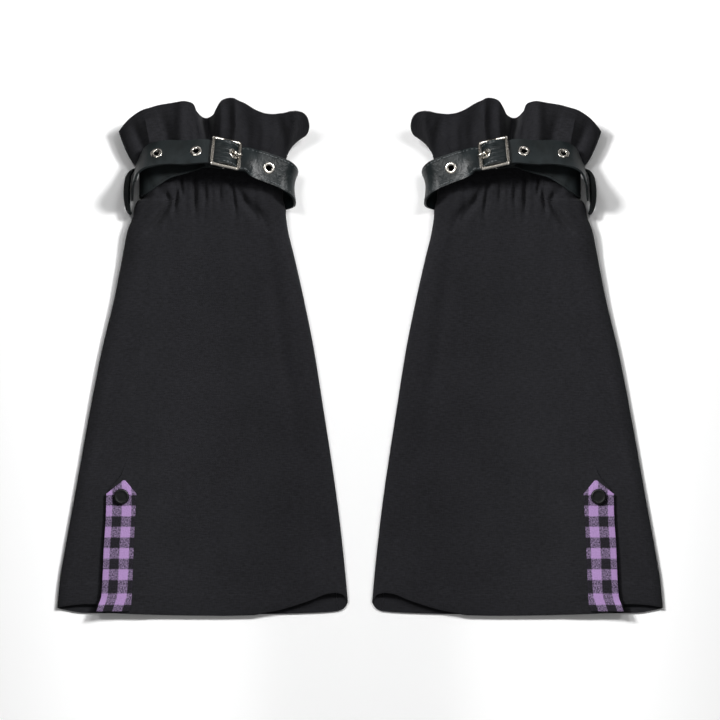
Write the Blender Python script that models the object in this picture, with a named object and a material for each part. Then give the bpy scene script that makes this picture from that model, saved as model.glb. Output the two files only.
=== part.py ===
"""A pair of cotton leg warmers, each with a ruffle, an elastic neck, a leather belt and a checked tab.

The pair lies flat, face up: +X across, +Y towards the ruffles, +Z up from the surface it lies on.
One leg is drawn in its own frame (u across, v along, z up, in millimetres) and placed at -X.
The other is its mirror image at +X.
"""
import bisect
import math
from collections import namedtuple

import bmesh
import bpy
from mathutils import Matrix, Vector

MM = 0.001
LEG_OFFSET = 126.0            # from the middle of the pair to each leg's own v axis

CLOTH = 1.2                   # wall of the panels, the neck casing, the ruffle and the tab
GAP = 0.3                     # between neighbouring pieces
SEAM_GAP = 0.5                # between pieces sewn end to end along v, where their walls lean a little
TURN_UNDER = 7.0              # how far the right seam is rolled round to the underside

# The tube of cloth, from hem to neck. left and right are its edges, base and top its lowest and
# highest surface, fold the radius under each edge, and shoulder the width of the rounding above it.
Section = namedtuple("Section", "v left right base top fold shoulder")
SECTIONS = (
    Section(-217.3, -128.9, 116.8, 0.0, 4.4, 1.9, 8.0),
    Section(-187.0, -126.0, 114.2, 0.0, 4.5, 1.9, 8.0),
    Section(-162.0, -121.8, 111.7, 0.0, 4.7, 2.0, 8.5),
    Section(-120.0, -114.2, 106.7, 0.0, 5.0, 2.0, 9.0),
    Section(-36.0, -99.1, 94.1, 0.0, 6.4, 2.3, 11.0),
    Section(6.0, -90.7, 87.4, 0.0, 7.6, 2.6, 12.0),
    Section(48.0, -80.6, 79.0, 0.0, 9.6, 3.2, 14.0),
    Section(82.0, -73.9, 71.4, 0.0, 12.2, 3.9, 16.0),
    Section(107.0, -68.9, 65.5, 1.3, 15.0, 4.5, 18.0),
    Section(118.0, -64.6, 64.0, 2.2, 16.2, 4.8, 19.0),
    Section(123.0, -64.0, 63.6, 2.2, 16.8, 4.9, 19.5),
    Section(127.5, -62.8, 62.8, 2.2, 17.2, 5.0, 20.0),
    Section(131.0, -58.8, 61.6, 2.2, 17.3, 5.0, 20.0),
    Section(133.4, -56.4, 61.2, 2.2, 17.4, 5.0, 20.0),
    Section(158.0, -56.0, 61.0, 2.2, 17.0, 5.0, 20.0),
)
NECK_START = 131.2            # where the panels are sewn to the casing
NECK_END = 157.0              # where the ruffle leaves the casing
NECK_ROWS = (NECK_START + SEAM_GAP, 133.2, 145.0, NECK_END)
GATHER_PITCH = 24.0           # soft waves below and above the elastic
GATHER_DEPTH = 0.7
GATHER_FADE = (60.0, 130.0)   # v where the waves begin, and where they are full

# The side seam, rolled round to the front. Below the vent it is the free edge of the front panel.
SEAM = ((-217.0, -95.4), (-208.0, -94.8), (-200.0, -91.6), (-160.0, -89.2), (-124.0, -87.3),
        (-112.0, -84.5), (-98.0, -74.0), (-67.0, -66.5), (2.0, -59.5), (69.0, -51.5), (100.0, -44.5),
        (132.0, -36.0))
VENT_TOP = -112.0
VENT_LIFT = 1.5               # the front panel lies over the side strip in the vent
VENT_LIFT_RUN = (-88.0, -55.0)  # v in which it comes down to the seam again
UNDERLAP = 18.0               # how far the side strip runs in under the front panel
UNDERLAP_RUN = 6.0            # v in which it slides under, below the vent's top
SETTLE = (14.0, 40.0)         # how far past the underlap the lift fades across the front panel

# Hems, as v for each u.
HEM_FRONT = ((-96.0, -214.0), (-65.5, -215.8), (-22.7, -217.0), (11.8, -217.3), (37.0, -216.8),
             (45.4, -215.0), (58.8, -212.3), (73.1, -208.1), (86.5, -203.5), (98.3, -198.9),
             (106.0, -198.0), (111.7, -199.3), (114.2, -202.0), (116.4, -204.8))
HEM_BACK = ((-128.4, -210.8), (-120.0, -212.6), (-105.0, -214.9), (-65.0, -215.4), (12.0, -216.4),
            (63.0, -215.6), (88.0, -214.8), (105.8, -213.5), (112.6, -210.8), (116.4, -204.8))
HEM_SIDE = ((-128.4, -210.8), (-122.6, -209.4), (-113.0, -208.1), (-102.5, -207.5), (-70.0, -208.4))
HEM_LEVEL = -205.0            # the section whose u the hems are read at

# The ruffle's free edge: along the front from the left corner to the right, then along the back.
EdgePoint = namedtuple("EdgePoint", "u v z")
RUFFLE_FRONT = (
    EdgePoint(-76.4, 189.0, 10.0), EdgePoint(-72.6, 194.4, 15.5), EdgePoint(-65.8, 201.1, 21.0),
    EdgePoint(-56.4, 207.0, 24.0), EdgePoint(-45.4, 210.3, 24.0), EdgePoint(-33.1, 212.6, 25.0),
    EdgePoint(-19.9, 214.1, 27.0), EdgePoint(-14.6, 211.8, 25.0), EdgePoint(-11.4, 205.4, 19.0),
    EdgePoint(-4.0, 200.4, 11.0), EdgePoint(2.4, 203.0, 17.0), EdgePoint(5.6, 208.5, 22.0),
    EdgePoint(9.7, 214.6, 26.0), EdgePoint(18.5, 216.9, 28.0), EdgePoint(27.8, 213.1, 27.0),
    EdgePoint(40.5, 206.0, 24.0), EdgePoint(50.4, 203.7, 22.0), EdgePoint(60.5, 204.3, 24.0),
    EdgePoint(70.0, 205.8, 27.0), EdgePoint(77.8, 204.2, 26.0), EdgePoint(82.3, 198.8, 22.0),
    EdgePoint(83.5, 191.5, 17.0), EdgePoint(80.6, 185.6, 12.0), EdgePoint(73.5, 182.3, 8.0),
)
RUFFLE_BACK = (
    EdgePoint(73.5, 182.3, 8.0), EdgePoint(66.0, 187.5, 4.0), EdgePoint(52.0, 193.0, 1.2),
    EdgePoint(34.0, 195.5, 3.0), EdgePoint(16.0, 194.0, 1.2), EdgePoint(-2.0, 193.0, 2.4),
    EdgePoint(-20.0, 195.0, 1.2), EdgePoint(-38.0, 196.0, 3.0), EdgePoint(-56.0, 193.5, 1.4),
    EdgePoint(-70.0, 190.0, 4.5), EdgePoint(-76.4, 189.0, 10.0),
)
RUFFLE_ROWS = (0.0, 0.1, 0.28, 0.5, 0.75, 1.0)
RUFFLE_FLARE_LEFT = 0.5       # powers of the height: under 1 the side spreads early, over 1 late
RUFFLE_FLARE_RIGHT = 1.25
RUFFLE_FLARE_LOBE = 1.1       # more than that again for the lobe at the right, over these u
RUFFLE_LOBE = (68.0, 82.0)
RUFFLE_RISE = 2.0             # the front rises towards its edge, clear of the belt at its root

# The belt.
STRAP_WIDTH = 24.5
STRAP = 1.8                   # its thickness
STRAP_STEP = 5.5              # longest step between stations along it
STRAP_TIP = 16.0              # length of the tapered tip
STRAP_TIP_WIDTH = 6.0
EYELET_PLACES = (-35.6, 0.0, 30.8, 64.9)  # from the one the prong goes through, towards the tip
EYELET_HOLE = 2.4             # radii
EYELET_BARREL = 2.8
EYELET_RIM = 4.7
EYELET_FLANGE = 0.6
EYELET_ROUND = 0.8            # slope of the flange's rims
EYELET_CUT = 3.1              # the hole punched for it
EYELET_CLEAR = 0.4            # between the leather and the rim

# The buckle's own frame: along the strap, across it (towards the ruffle) and out from the cloth.
BUCKLE_CENTRE = Vector((13.4, 169.7, 30.5))
BUCKLE_ALONG = Vector((0.961, -0.216, -0.170))
BUCKLE_LEAN = 36.0            # degrees: the belt's lower edge stands nearer the viewer
FRAME_WIDTH = 26.2            # over its side bars, along the strap
FRAME_HEIGHT = 30.2
FRAME_BAR = 2.2
FRAME_OUT = 1.8               # of the frame's middle, from the centre bar's own level below
BAR_OUT = -1.2                # of the centre bar, which the strap and the prong turn round
BAR_RADIUS = 1.1
PRONG_RADIUS = 0.7
FRAME_CORNER = 2.4            # rounding of its outer corners, and of its window's
WINDOW_CORNER = 1.0
PRONG_TURN = (200, 330, 15)   # degrees round the centre bar: from, to and step
SLOT = Vector((7.6, 3.2, 4.8))  # cut in the strap's fold for the prong, along, across and out
SLOT_MIDDLE = Vector((0.6, 0.0, -2.8))

# Turned-back end and fold round the centre bar, then the start of the run, as (along, out).
FOLD_RUN = ((-16.0, -4.1), (-12.0, -3.9), (-8.0, -1.9), (-4.0, 0.5), (0.0, 1.3), (1.77, 0.57),
            (2.5, -1.2), (1.77, -2.97), (0.0, -3.7), (-5.0, -5.0), (-12.0, -6.2))
# The free end passes under the right bar, over the centre and under the left bar.
THREADED_RUN = ((18.0, -0.3), (15.0, -1.2), (12.0, -1.5), (8.8, 0.6), (5.8, 2.5), (2.8, 3.6),
                (0.0, 3.8), (-4.0, 3.0), (-8.0, 1.0), (-12.0, -1.5), (-15.8, -1.8))
PRONG_ROW = 4                 # the row of the threaded run where the prong comes up through the strap
PRONG_RUN = ((3.6, -1.8), (4.8, -0.3), (5.7, 1.4), (6.5, 2.9), (7.7, 4.0), (9.6, 4.4), (12.0, 4.2),
             (13.8, 3.6))

# The belt's stations away from the buckle. lean is in degrees, as at the buckle, and sway is how far
# the belt's upper edge turns towards +u.
Station = namedtuple("Station", "u v z lean sway")
ROUND_THE_LEG = (
    Station(-9.0, 168.6, 25.0, 25.0, 0.0), Station(-22.0, 165.6, 24.2, 9.0, 0.0),
    Station(-38.0, 161.0, 22.8, 2.0, 0.0),
    Station(-50.4, 152.9, 19.6, 0.0, 0.0), Station(-57.2, 146.8, 13.4, 0.0, 0.0),
    Station(-58.3, 145.6, 7.4, 0.0, 0.0), Station(-56.6, 144.8, 2.0, 0.0, 0.0),
    Station(-51.6, 144.2, 0.9, 0.0, 0.0), Station(-44.0, 143.2, 0.9, 0.0, 0.0),
    Station(0.0, 139.4, 0.9, 0.0, 0.0), Station(50.0, 136.0, 0.9, 0.0, 0.0),
    Station(56.5, 135.6, 0.9, 0.0, 0.0), Station(63.2, 136.0, 1.8, 0.0, 0.0),
    Station(68.2, 137.8, 6.4, 0.0, 0.0), Station(70.2, 141.4, 12.2, 0.0, 0.0),
    Station(68.6, 147.4, 17.8, 0.0, 0.0), Station(63.8, 152.2, 21.8, 1.0, 0.0),
    Station(56.8, 155.6, 23.8, 3.0, 0.0), Station(46.6, 159.2, 25.4, 9.0, 0.0),
    Station(38.2, 162.3, 26.2, 17.0, 0.0),
)
FREE_END = (
    Station(-5.5, 172.2, 32.1, 36.0, 0.0), Station(-20.0, 171.1, 31.4, 35.0, 0.0),
    Station(-37.0, 171.2, 30.0, 35.0, 1.0), Station(-45.6, 169.8, 29.6, 36.0, 6.0),
    Station(-53.0, 166.4, 28.6, 36.0, 13.0), Station(-58.2, 161.4, 26.2, 36.0, 16.0),
    Station(-62.2, 153.6, 22.0, 26.0, 11.0), Station(-63.9, 145.0, 15.6, 12.0, 6.0),
    Station(-64.6, 139.8, 9.8, 4.0, 4.0), Station(-64.9, 138.4, 5.4, 0.0, 3.0),
    Station(-65.0, 138.0, 1.4, 0.0, 3.0),
)

# The leather loop sewn to the outer side, which holds the free end.
LoopPoint = namedtuple("LoopPoint", "u v top")
LOOP_RUN = (LoopPoint(-62.4, 158.0, 4.2), LoopPoint(-66.5, 155.9, 4.8), LoopPoint(-69.4, 152.4, 8.0),
            LoopPoint(-70.9, 147.4, 10.8), LoopPoint(-71.7, 140.5, 11.2), LoopPoint(-71.7, 134.0, 11.0),
            LoopPoint(-70.8, 127.6, 10.8), LoopPoint(-69.4, 123.0, 10.2), LoopPoint(-67.8, 120.8, 9.4),
            LoopPoint(-66.0, 120.0, 8.4))
LOOP_BOTTOM = 2.0
LOOP_ROWS = 3
LOOP_LEAN = 3.9               # how far the middle of its upper edge leans in over the belt

# The checked tab on the front panel's vent edge.
TabRow = namedtuple("TabRow", "v left right")
TAB = (TabRow(-213.4, -95.2, -67.4), TabRow(-208.0, -93.4, -66.2), TabRow(-200.0, -91.0, -65.5),
       TabRow(-160.0, -89.0, -64.0), TabRow(-124.3, -87.1, -62.2), TabRow(-114.9, -87.1, -61.6),
       TabRow(-103.3, -72.6, -71.2))
TAB_CURL = 2.2                # how far its lower outer corner stands up
TAB_CURL_RUN = 12.0
TAB_COLUMNS = 4
TAB_ROWS = 16

BUTTON_CENTRE = (-74.3, -117.2)
BUTTON_PROFILE = ((0.0, 0.0), (5.7, 0.0), (6.6, 0.8), (6.6, 1.9), (6.0, 2.6), (5.0, 2.6), (4.2, 2.1),
                  (0.0, 2.1))  # radius and height, with a raised rim

Finish = namedtuple("Finish", "name colour roughness metallic")
COTTON = Finish("black_cotton_twill", (0.020, 0.020, 0.022), 0.90, 0.0)
LEATHER = Finish("black_faux_leather", (0.024, 0.026, 0.028), 0.42, 0.0)
STEEL = Finish("nickel_plated_steel", (0.620, 0.600, 0.570), 0.25, 1.0)
GINGHAM = Finish("purple_gingham_cotton", (0.260, 0.150, 0.340), 0.88, 0.0)
PLASTIC = Finish("black_button_plastic", (0.012, 0.012, 0.013), 0.45, 0.0)


def smooth_curve(points):
    """Return y(x) on a smooth curve through (x, y) points that never overshoots them."""
    xs = [point[0] for point in points]
    ys = [point[1] for point in points]
    rises = [(ys[i + 1] - ys[i]) / (xs[i + 1] - xs[i]) for i in range(len(xs) - 1)]
    slopes = [rises[0]]
    for before, after in zip(rises, rises[1:]):
        slopes.append(2 * before * after / (before + after) if before * after > 0 else 0.0)
    slopes.append(rises[-1])

    def value(x):
        x = min(max(x, xs[0]), xs[-1])
        i = min(bisect.bisect_right(xs, x) - 1, len(xs) - 2)
        span = xs[i + 1] - xs[i]
        t = (x - xs[i]) / span
        return ((1 + 2 * t) * (1 - t) ** 2 * ys[i] + t * (1 - t) ** 2 * span * slopes[i]
                + t * t * (3 - 2 * t) * ys[i + 1] - t * t * (1 - t) * span * slopes[i + 1])

    return value


def smooth_path(rows, longest):
    """Points on a smooth curve through rows of numbers, whose first three are a place in space."""
    gaps = [math.dist(a[:3], b[:3]) for a, b in zip(rows, rows[1:])]
    rows = [Vector(row) for row in rows]
    speeds = [(rows[1] - rows[0]) / gaps[0]]
    for i in range(1, len(rows) - 1):
        before = (rows[i] - rows[i - 1]) / gaps[i - 1]
        after = (rows[i + 1] - rows[i]) / gaps[i]
        speeds.append((before * gaps[i] + after * gaps[i - 1]) / (gaps[i] + gaps[i - 1]))
    speeds.append((rows[-1] - rows[-2]) / gaps[-1])
    path = [rows[0]]
    for i, gap in enumerate(gaps):
        steps = max(1, math.ceil(gap / longest))
        for step in range(1, steps + 1):
            t = step / steps
            path.append((1 + 2 * t) * (1 - t) ** 2 * rows[i] + t * (1 - t) ** 2 * gap * speeds[i]
                        + t * t * (3 - 2 * t) * rows[i + 1] - t * t * (1 - t) * gap * speeds[i + 1])
    return path


def ease(x, start, end):
    """0 before start, 1 after end, and smooth between."""
    t = min(max((x - start) / (end - start), 0.0), 1.0)
    return t * t * (3 - 2 * t)


def mix(a, b, t):
    return a + (b - a) * t


section = {name: smooth_curve([(row.v, getattr(row, name)) for row in SECTIONS])
           for name in Section._fields[1:]}
seam_at = smooth_curve(SEAM)
hem_front = smooth_curve(HEM_FRONT)
hem_back = smooth_curve(HEM_BACK)
hem_side = smooth_curve(HEM_SIDE)


# The surface of the cloth tube.

def top_height(u, v):
    """Outer surface of the tube's upper side, with the gathers and without the vent's overlap."""
    left, right = section["left"](v), section["right"](v)
    shoulder, middle = section["shoulder"](v), section["base"](v) + section["fold"](v)
    inset = max(left + shoulder - u, u - right + shoulder, 0.0) / shoulder
    rise = math.sqrt(max(1.0 - inset * inset, 0.0))
    waves = GATHER_DEPTH * ease(v, *GATHER_FADE) * math.cos(math.tau * u / GATHER_PITCH)
    return middle + (section["top"](v) + waves - middle) * rise


def front_height(u, v):
    """Outer surface of the front panel, which rises over the side strip in the vent."""
    across = 1.0 - ease(u - seam_at(v) - UNDERLAP, *SETTLE)
    along = 1.0 - ease(v, *VENT_LIFT_RUN)
    return top_height(u, v) + VENT_LIFT * across * along


def walk(spans, column):
    """The named span that a column falls in, and how far along it the column is."""
    for name, count in spans:
        if column <= count:
            return name, column / count
        column -= count
    return spans[-1][0], 1.0


def tube_point(v, span, t, seam_end=None):
    """(u, z) on the tube's outer surface at v, a fraction t along one of its named spans."""
    left, right = section["left"](v), section["right"](v)
    base, fold, shoulder = section["base"](v), section["fold"](v), section["shoulder"](v)
    turn = t * math.pi / 2
    if span == "right_fold":
        return right - fold + fold * math.cos(turn), base + fold - fold * math.sin(turn)
    if span in ("underside", "turned_under", "back"):
        start = TURN_UNDER + GAP if span == "back" else 0.0
        end = right - fold - TURN_UNDER if span == "turned_under" else left + fold
        return mix(right - fold - start, end, t), base
    if span == "left_fold":
        return left + fold - fold * math.sin(turn), base + fold - fold * math.cos(turn)
    if span == "left_shoulder":
        u = left + shoulder - shoulder * math.cos(turn)
    elif span == "right_shoulder":
        u = right - shoulder + shoulder * math.sin(turn)
    elif span == "top":
        u = mix(left + shoulder, right - shoulder, t)
    else:
        u = mix(left + shoulder, seam_end, t)
    return u, top_height(u, v)


# Meshes.

def grid(columns, rows):
    """A flat grid whose vertices are found again by their column and row."""
    bm = bmesh.new()
    bmesh.ops.create_grid(bm, x_segments=columns, y_segments=rows, size=1.0)
    cells = []
    for vert in bm.verts:
        column = round((vert.co.x + 1) / 2 * columns)
        row = round((vert.co.y + 1) / 2 * rows)
        cells.append((vert, column, row))
    return bm, cells


def placed(bm, side):
    """Move a bmesh from the leg's own frame to its place in the pair, in metres."""
    leg = Matrix(((-side, 0, 0, side * LEG_OFFSET), (0, 1, 0, 0), (0, 0, 1, 0), (0, 0, 0, 1)))
    bmesh.ops.transform(bm, matrix=Matrix.Scale(MM, 4) @ leg, verts=bm.verts)
    if side > 0:
        bmesh.ops.reverse_faces(bm, faces=bm.faces)


def material(finish):
    found = bpy.data.materials.get(finish.name)
    if found:
        return found
    made = bpy.data.materials.new(finish.name)
    made.use_nodes = True
    shader = made.node_tree.nodes["Principled BSDF"]
    shader.inputs["Base Color"].default_value = (*finish.colour, 1.0)
    shader.inputs["Roughness"].default_value = finish.roughness
    shader.inputs["Metallic"].default_value = finish.metallic
    made.diffuse_color = (*finish.colour, 1.0)
    return made


def add_object(name, bm, side, finish):
    """Turn a bmesh in the leg's own frame into an object, named for its leg."""
    placed(bm, side)
    full_name = ("left_" if side < 0 else "right_") + name
    mesh = bpy.data.meshes.new(full_name)
    bm.to_mesh(mesh)
    bm.free()
    mesh.shade_smooth()
    mesh.set_sharp_from_angle(angle=math.radians(40))
    mesh.materials.append(material(finish))
    piece = bpy.data.objects.new(full_name, mesh)
    bpy.context.collection.objects.link(piece)
    return piece


def add_wall(piece, thickness, offset):
    wall = piece.modifiers.new("wall", "SOLIDIFY")
    wall.thickness = thickness * MM
    wall.offset = offset
    wall.use_even_offset = True
    wall.use_quality_normals = True


def add_cut(piece, cutter, operation="DIFFERENCE"):
    cutter.hide_render = True
    cutter.display_type = "WIRE"
    cut = piece.modifiers.new("cut", "BOOLEAN")
    cut.operation = operation
    cut.solver = "EXACT"
    cut.object = cutter


# The cloth.

FRONT_SPANS = (("front", 14), ("right_shoulder", 4), ("right_fold", 3), ("turned_under", 1))
BACK_SPANS = (("back", 9), ("left_fold", 3), ("left_shoulder", 4), ("strip", 3))
RING_SPANS = (("left_shoulder", 4), ("top", 20), ("right_shoulder", 4),
              ("right_fold", 2), ("underside", 10), ("left_fold", 2))
RING_TOP = 28                 # columns of the ring that are on its upper side
PANEL_ROWS = 16


def panel_rows(row, hem):
    """v of a panel's row: closer together towards the neck, where the tube changes most."""
    t = row / PANEL_ROWS
    return mix(hem, NECK_START, t * (1.25 - 0.25 * t))


def make_front_panel(side):
    columns = sum(count for _, count in FRONT_SPANS)
    bm, cells = grid(columns, PANEL_ROWS)
    for vert, column, row in cells:
        span, t = walk(FRONT_SPANS, column)

        def place(v):
            if span != "front":
                return tube_point(v, span, t)
            u = mix(seam_at(v) + GAP / 2, section["right"](v) - section["shoulder"](v), t)
            return u, front_height(u, v)

        hem = hem_front if span in ("front", "right_shoulder") else hem_back
        v = panel_rows(row, hem(place(HEM_LEVEL)[0]))
        u, z = place(v)
        vert.co = (u, v, z)
    panel = add_object("front_panel", bm, side, COTTON)
    add_wall(panel, CLOTH, -1.0)


def make_back_panel(side):
    columns = sum(count for _, count in BACK_SPANS)
    bm, cells = grid(columns, PANEL_ROWS)
    for vert, column, row in cells:
        span, t = walk(BACK_SPANS, column)

        def place(v):
            tucked = 1.0 - ease(v, VENT_TOP - UNDERLAP_RUN, VENT_TOP)
            seam_end = seam_at(v) - GAP / 2 + (UNDERLAP + GAP) * tucked
            return tube_point(v, span, t, seam_end)

        hem = hem_side if span in ("left_shoulder", "strip") else hem_back
        v = panel_rows(row, hem(place(HEM_LEVEL)[0]))
        u, z = place(v)
        vert.co = (u, v, z)
    panel = add_object("back_panel", bm, side, COTTON)
    add_wall(panel, CLOTH, -1.0)


def ring_outline(v):
    """The tube's section at v as a closed run of (u, z), from its left edge over the top."""
    count = sum(number for _, number in RING_SPANS)
    return [tube_point(v, *walk(RING_SPANS, column)) for column in range(count)]


def make_ring(columns, rows, place):
    """A tube of cloth, closed on itself: place gives the point of a column and a row."""
    bm, cells = grid(columns, rows)
    for vert, column, row in cells:
        vert.co = place(column % columns, row)
    bmesh.ops.remove_doubles(bm, verts=bm.verts, dist=0.01)
    return bm


def make_casing(side):
    outlines = [ring_outline(v) for v in NECK_ROWS]

    def place(column, row):
        u, z = outlines[row][column]
        return u, NECK_ROWS[row], z

    bm = make_ring(len(outlines[0]), len(NECK_ROWS) - 1, place)
    casing = add_object("neck_casing", bm, side, COTTON)
    add_wall(casing, CLOTH, -1.0)


def spread(points, fractions):
    """Points at the given fractions of a smooth curve's length."""
    path = smooth_path(points, 1.0)
    lengths = [0.0]
    for a, b in zip(path, path[1:]):
        lengths.append(lengths[-1] + (b - a).length)
    placed_points = []
    for fraction in fractions:
        target = fraction * lengths[-1]
        i = min(max(bisect.bisect_left(lengths, target), 1), len(path) - 1)
        t = (target - lengths[i - 1]) / (lengths[i] - lengths[i - 1])
        placed_points.append(path[i - 1].lerp(path[i], t))
    return placed_points


def fractions_along(points):
    lengths = [0.0]
    for a, b in zip(points, points[1:]):
        lengths.append(lengths[-1] + math.dist(a, b))
    return [length / lengths[-1] for length in lengths]


def ruffle_edge(root):
    """The free edge, one point for each column of the root ring."""
    upper = spread(RUFFLE_FRONT, fractions_along(root[:RING_TOP + 1]))
    lower = spread(RUFFLE_BACK, fractions_along(root[RING_TOP:] + root[:1]))
    return upper + lower[1:-1]


def make_ruffle(side):
    root_height = NECK_END + SEAM_GAP
    root = ring_outline(root_height)
    edge = ruffle_edge(root)

    def place(column, row):
        r = RUFFLE_ROWS[row]
        u, z = root[column]
        rim = edge[column]
        to_right = (u - root[0][0]) / (root[RING_TOP][0] - root[0][0])
        lobe = RUFFLE_FLARE_LOBE * ease(rim.x, *RUFFLE_LOBE)
        flare = r ** (mix(RUFFLE_FLARE_LEFT, RUFFLE_FLARE_RIGHT, to_right) + lobe)
        upper = column <= RING_TOP
        rise = r ** (RUFFLE_RISE if upper else 1.0)
        return mix(u, rim.x, flare), mix(root_height, rim.y, r), mix(z, rim.z, rise)

    bm = make_ring(len(root), len(RUFFLE_ROWS) - 1, place)
    ruffle = add_object("ruffle", bm, side, COTTON)
    add_wall(ruffle, CLOTH, -1.0)


def make_tab(side):
    left = smooth_curve([(row.v, row.left) for row in TAB])
    right = smooth_curve([(row.v, row.right) for row in TAB])
    shoulder, tip = TAB[-2].v, TAB[-1].v
    levels = [mix(TAB[0].v, shoulder, i / (TAB_ROWS - 2)) for i in range(TAB_ROWS - 1)]
    levels += [mix(shoulder, tip, 0.5), tip]
    bm, cells = grid(TAB_COLUMNS, TAB_ROWS)
    for vert, column, row in cells:
        v = levels[row]
        if v > shoulder:
            point = (v - shoulder) / (tip - shoulder)
            low, high = mix(TAB[-2].left, TAB[-1].left, point), mix(TAB[-2].right, TAB[-1].right, point)
        else:
            low, high = left(v), right(v)
        u = mix(low, high, column / TAB_COLUMNS)
        corner = math.hypot(u - TAB[0].left, v - TAB[0].v)
        curl = TAB_CURL * (1.0 - ease(corner, 0.0, TAB_CURL_RUN))
        vert.co = (u, v, front_height(u, v) + GAP + CLOTH + curl)
    tab = add_object("tab", bm, side, GINGHAM)
    add_wall(tab, CLOTH, -1.0)


def lathe(profile, segments):
    """A turned solid from (radius, height) points, bottom to top on its outer side."""
    bm = bmesh.new()
    verts = [bm.verts.new((radius, 0.0, height)) for radius, height in profile]
    closed = profile[0][0] > 0
    edges = [bm.edges.new(pair) for pair in zip(verts, verts[1:])]
    if closed:
        edges.append(bm.edges.new((verts[-1], verts[0])))
    bmesh.ops.spin(bm, geom=verts + edges, cent=(0, 0, 0), axis=(0, 0, 1), angle=math.tau,
                   steps=segments, use_merge=True)
    bmesh.ops.remove_doubles(bm, verts=bm.verts, dist=0.001)
    bmesh.ops.recalc_face_normals(bm, faces=bm.faces)
    return bm


def make_button(side):
    bm = lathe(BUTTON_PROFILE, 24)
    u, v = BUTTON_CENTRE
    seat = front_height(u, v) + CLOTH + 2 * GAP
    bmesh.ops.translate(bm, vec=(u, v, seat), verts=bm.verts)
    add_object("button", bm, side, PLASTIC)


# The belt.

def buckle_axes():
    """The buckle's unit vectors: along the strap, across it, and out from the cloth."""
    along = BUCKLE_ALONG.normalized()
    lean = math.radians(BUCKLE_LEAN)
    across = Vector((0.0, math.cos(lean), -math.sin(lean)))
    across = (across - across.dot(along) * along).normalized()
    return along, across, along.cross(across)


def at_buckle(along, out):
    direction, _, outward = buckle_axes()
    return BUCKLE_CENTRE + along * direction + out * outward


def strap_stations():
    """The strap's middle line from its turned-back end to its tip, each with its width direction."""
    across = buckle_axes()[1]

    def leaning(stations):
        return [(s.u, s.v, s.z, math.tan(math.radians(s.sway)), math.cos(math.radians(s.lean)),
                 -math.sin(math.radians(s.lean))) for s in stations]

    rows = [(*at_buckle(*row), *across) for row in FOLD_RUN]
    rows += leaning(ROUND_THE_LEG)
    rows += [(*at_buckle(*row), *across) for row in THREADED_RUN]
    rows += leaning(FREE_END)
    path = smooth_path(rows, STRAP_STEP)
    places = [Vector(row[:3]) for row in path]
    stations = []
    for i, row in enumerate(path):
        tangent = (places[min(i + 1, len(path) - 1)] - places[max(i - 1, 0)]).normalized()
        width = Vector(row[3:])
        width = (width - width.dot(tangent) * tangent).normalized()
        stations.append((places[i], tangent, width))
    return stations


def distances(stations):
    """How far along the strap each station is."""
    lengths = [0.0]
    for (a, _, _), (b, _, _) in zip(stations, stations[1:]):
        lengths.append(lengths[-1] + (b - a).length)
    return lengths


def strap_half_width(left_over):
    """Half the strap's width where left_over millimetres remain to its tip."""
    taper = min(left_over / STRAP_TIP, 1.0)
    return mix(STRAP_TIP_WIDTH, STRAP_WIDTH, math.sin(taper * math.pi / 2)) / 2


def eyelet_frames(stations):
    """Place and axes of each eyelet, counted from the one on the prong."""
    lengths = distances(stations)
    target = at_buckle(*THREADED_RUN[PRONG_ROW])
    later = [i for i in range(len(stations)) if lengths[i] > lengths[-1] / 2]
    nearest = min(later, key=lambda i: (stations[i][0] - target).length)
    frames = []
    for distance in EYELET_PLACES:
        wanted = lengths[nearest] + distance
        i = min(bisect.bisect_left(lengths, wanted), len(stations) - 1)
        t = (wanted - lengths[i - 1]) / (lengths[i] - lengths[i - 1])
        (p, tangent, width), (q, _, _) = stations[i - 1], stations[i]
        normal = (q - p).normalized().cross(width).normalized()
        # The free end runs back to the left, so its outer side is the other way.
        if normal.z < 0:
            normal = -normal
        frames.append((p.lerp(q, t), normal, width))
    return frames


def facing(place, normal, width):
    """A matrix whose z axis is normal and whose y axis is width."""
    y = (width - width.dot(normal) * normal).normalized()
    x = y.cross(normal)
    rotation = Matrix((x, y, normal)).transposed().to_4x4()
    return Matrix.Translation(place) @ rotation


def make_strap(side, stations):
    lengths = distances(stations)
    bm, cells = grid(len(stations) - 1, 2)
    for vert, column, row in cells:
        place, _, width = stations[column]
        half = strap_half_width(lengths[-1] - lengths[column])
        vert.co = place + width * half * (row - 1)
        vert.co.z = max(vert.co.z, STRAP / 2)
    strap = add_object("strap", bm, side, LEATHER)
    add_wall(strap, STRAP, 0.0)

    for number, frame in enumerate(eyelet_frames(stations), 1):
        punch = bmesh.new()
        bmesh.ops.create_cone(punch, cap_ends=True, segments=16, radius1=EYELET_CUT,
                              radius2=EYELET_CUT, depth=1.6 * STRAP, matrix=facing(*frame))
        add_cut(strap, add_object(f"punch_{number}", punch, side, LEATHER))
    slot = bmesh.new()
    bmesh.ops.create_cube(slot, size=1.0, matrix=buckle_matrix() @ Matrix.Translation(SLOT_MIDDLE)
                          @ Matrix.Diagonal(SLOT.to_4d()))
    add_cut(strap, add_object("prong_slot", slot, side, LEATHER))


def make_eyelets(side, stations):
    half = STRAP / 2 + EYELET_CLEAR
    crown = half + EYELET_FLANGE
    profile = ((EYELET_HOLE, -half), (EYELET_BARREL, -half), (EYELET_BARREL, half), (EYELET_RIM, half),
               (EYELET_RIM - EYELET_ROUND, crown), (EYELET_HOLE + EYELET_ROUND, crown),
               (EYELET_HOLE, half))
    for number, frame in enumerate(eyelet_frames(stations), 1):
        bm = lathe(profile, 16)
        bmesh.ops.transform(bm, matrix=facing(*frame), verts=bm.verts)
        add_object(f"eyelet_{number}", bm, side, STEEL)


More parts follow.
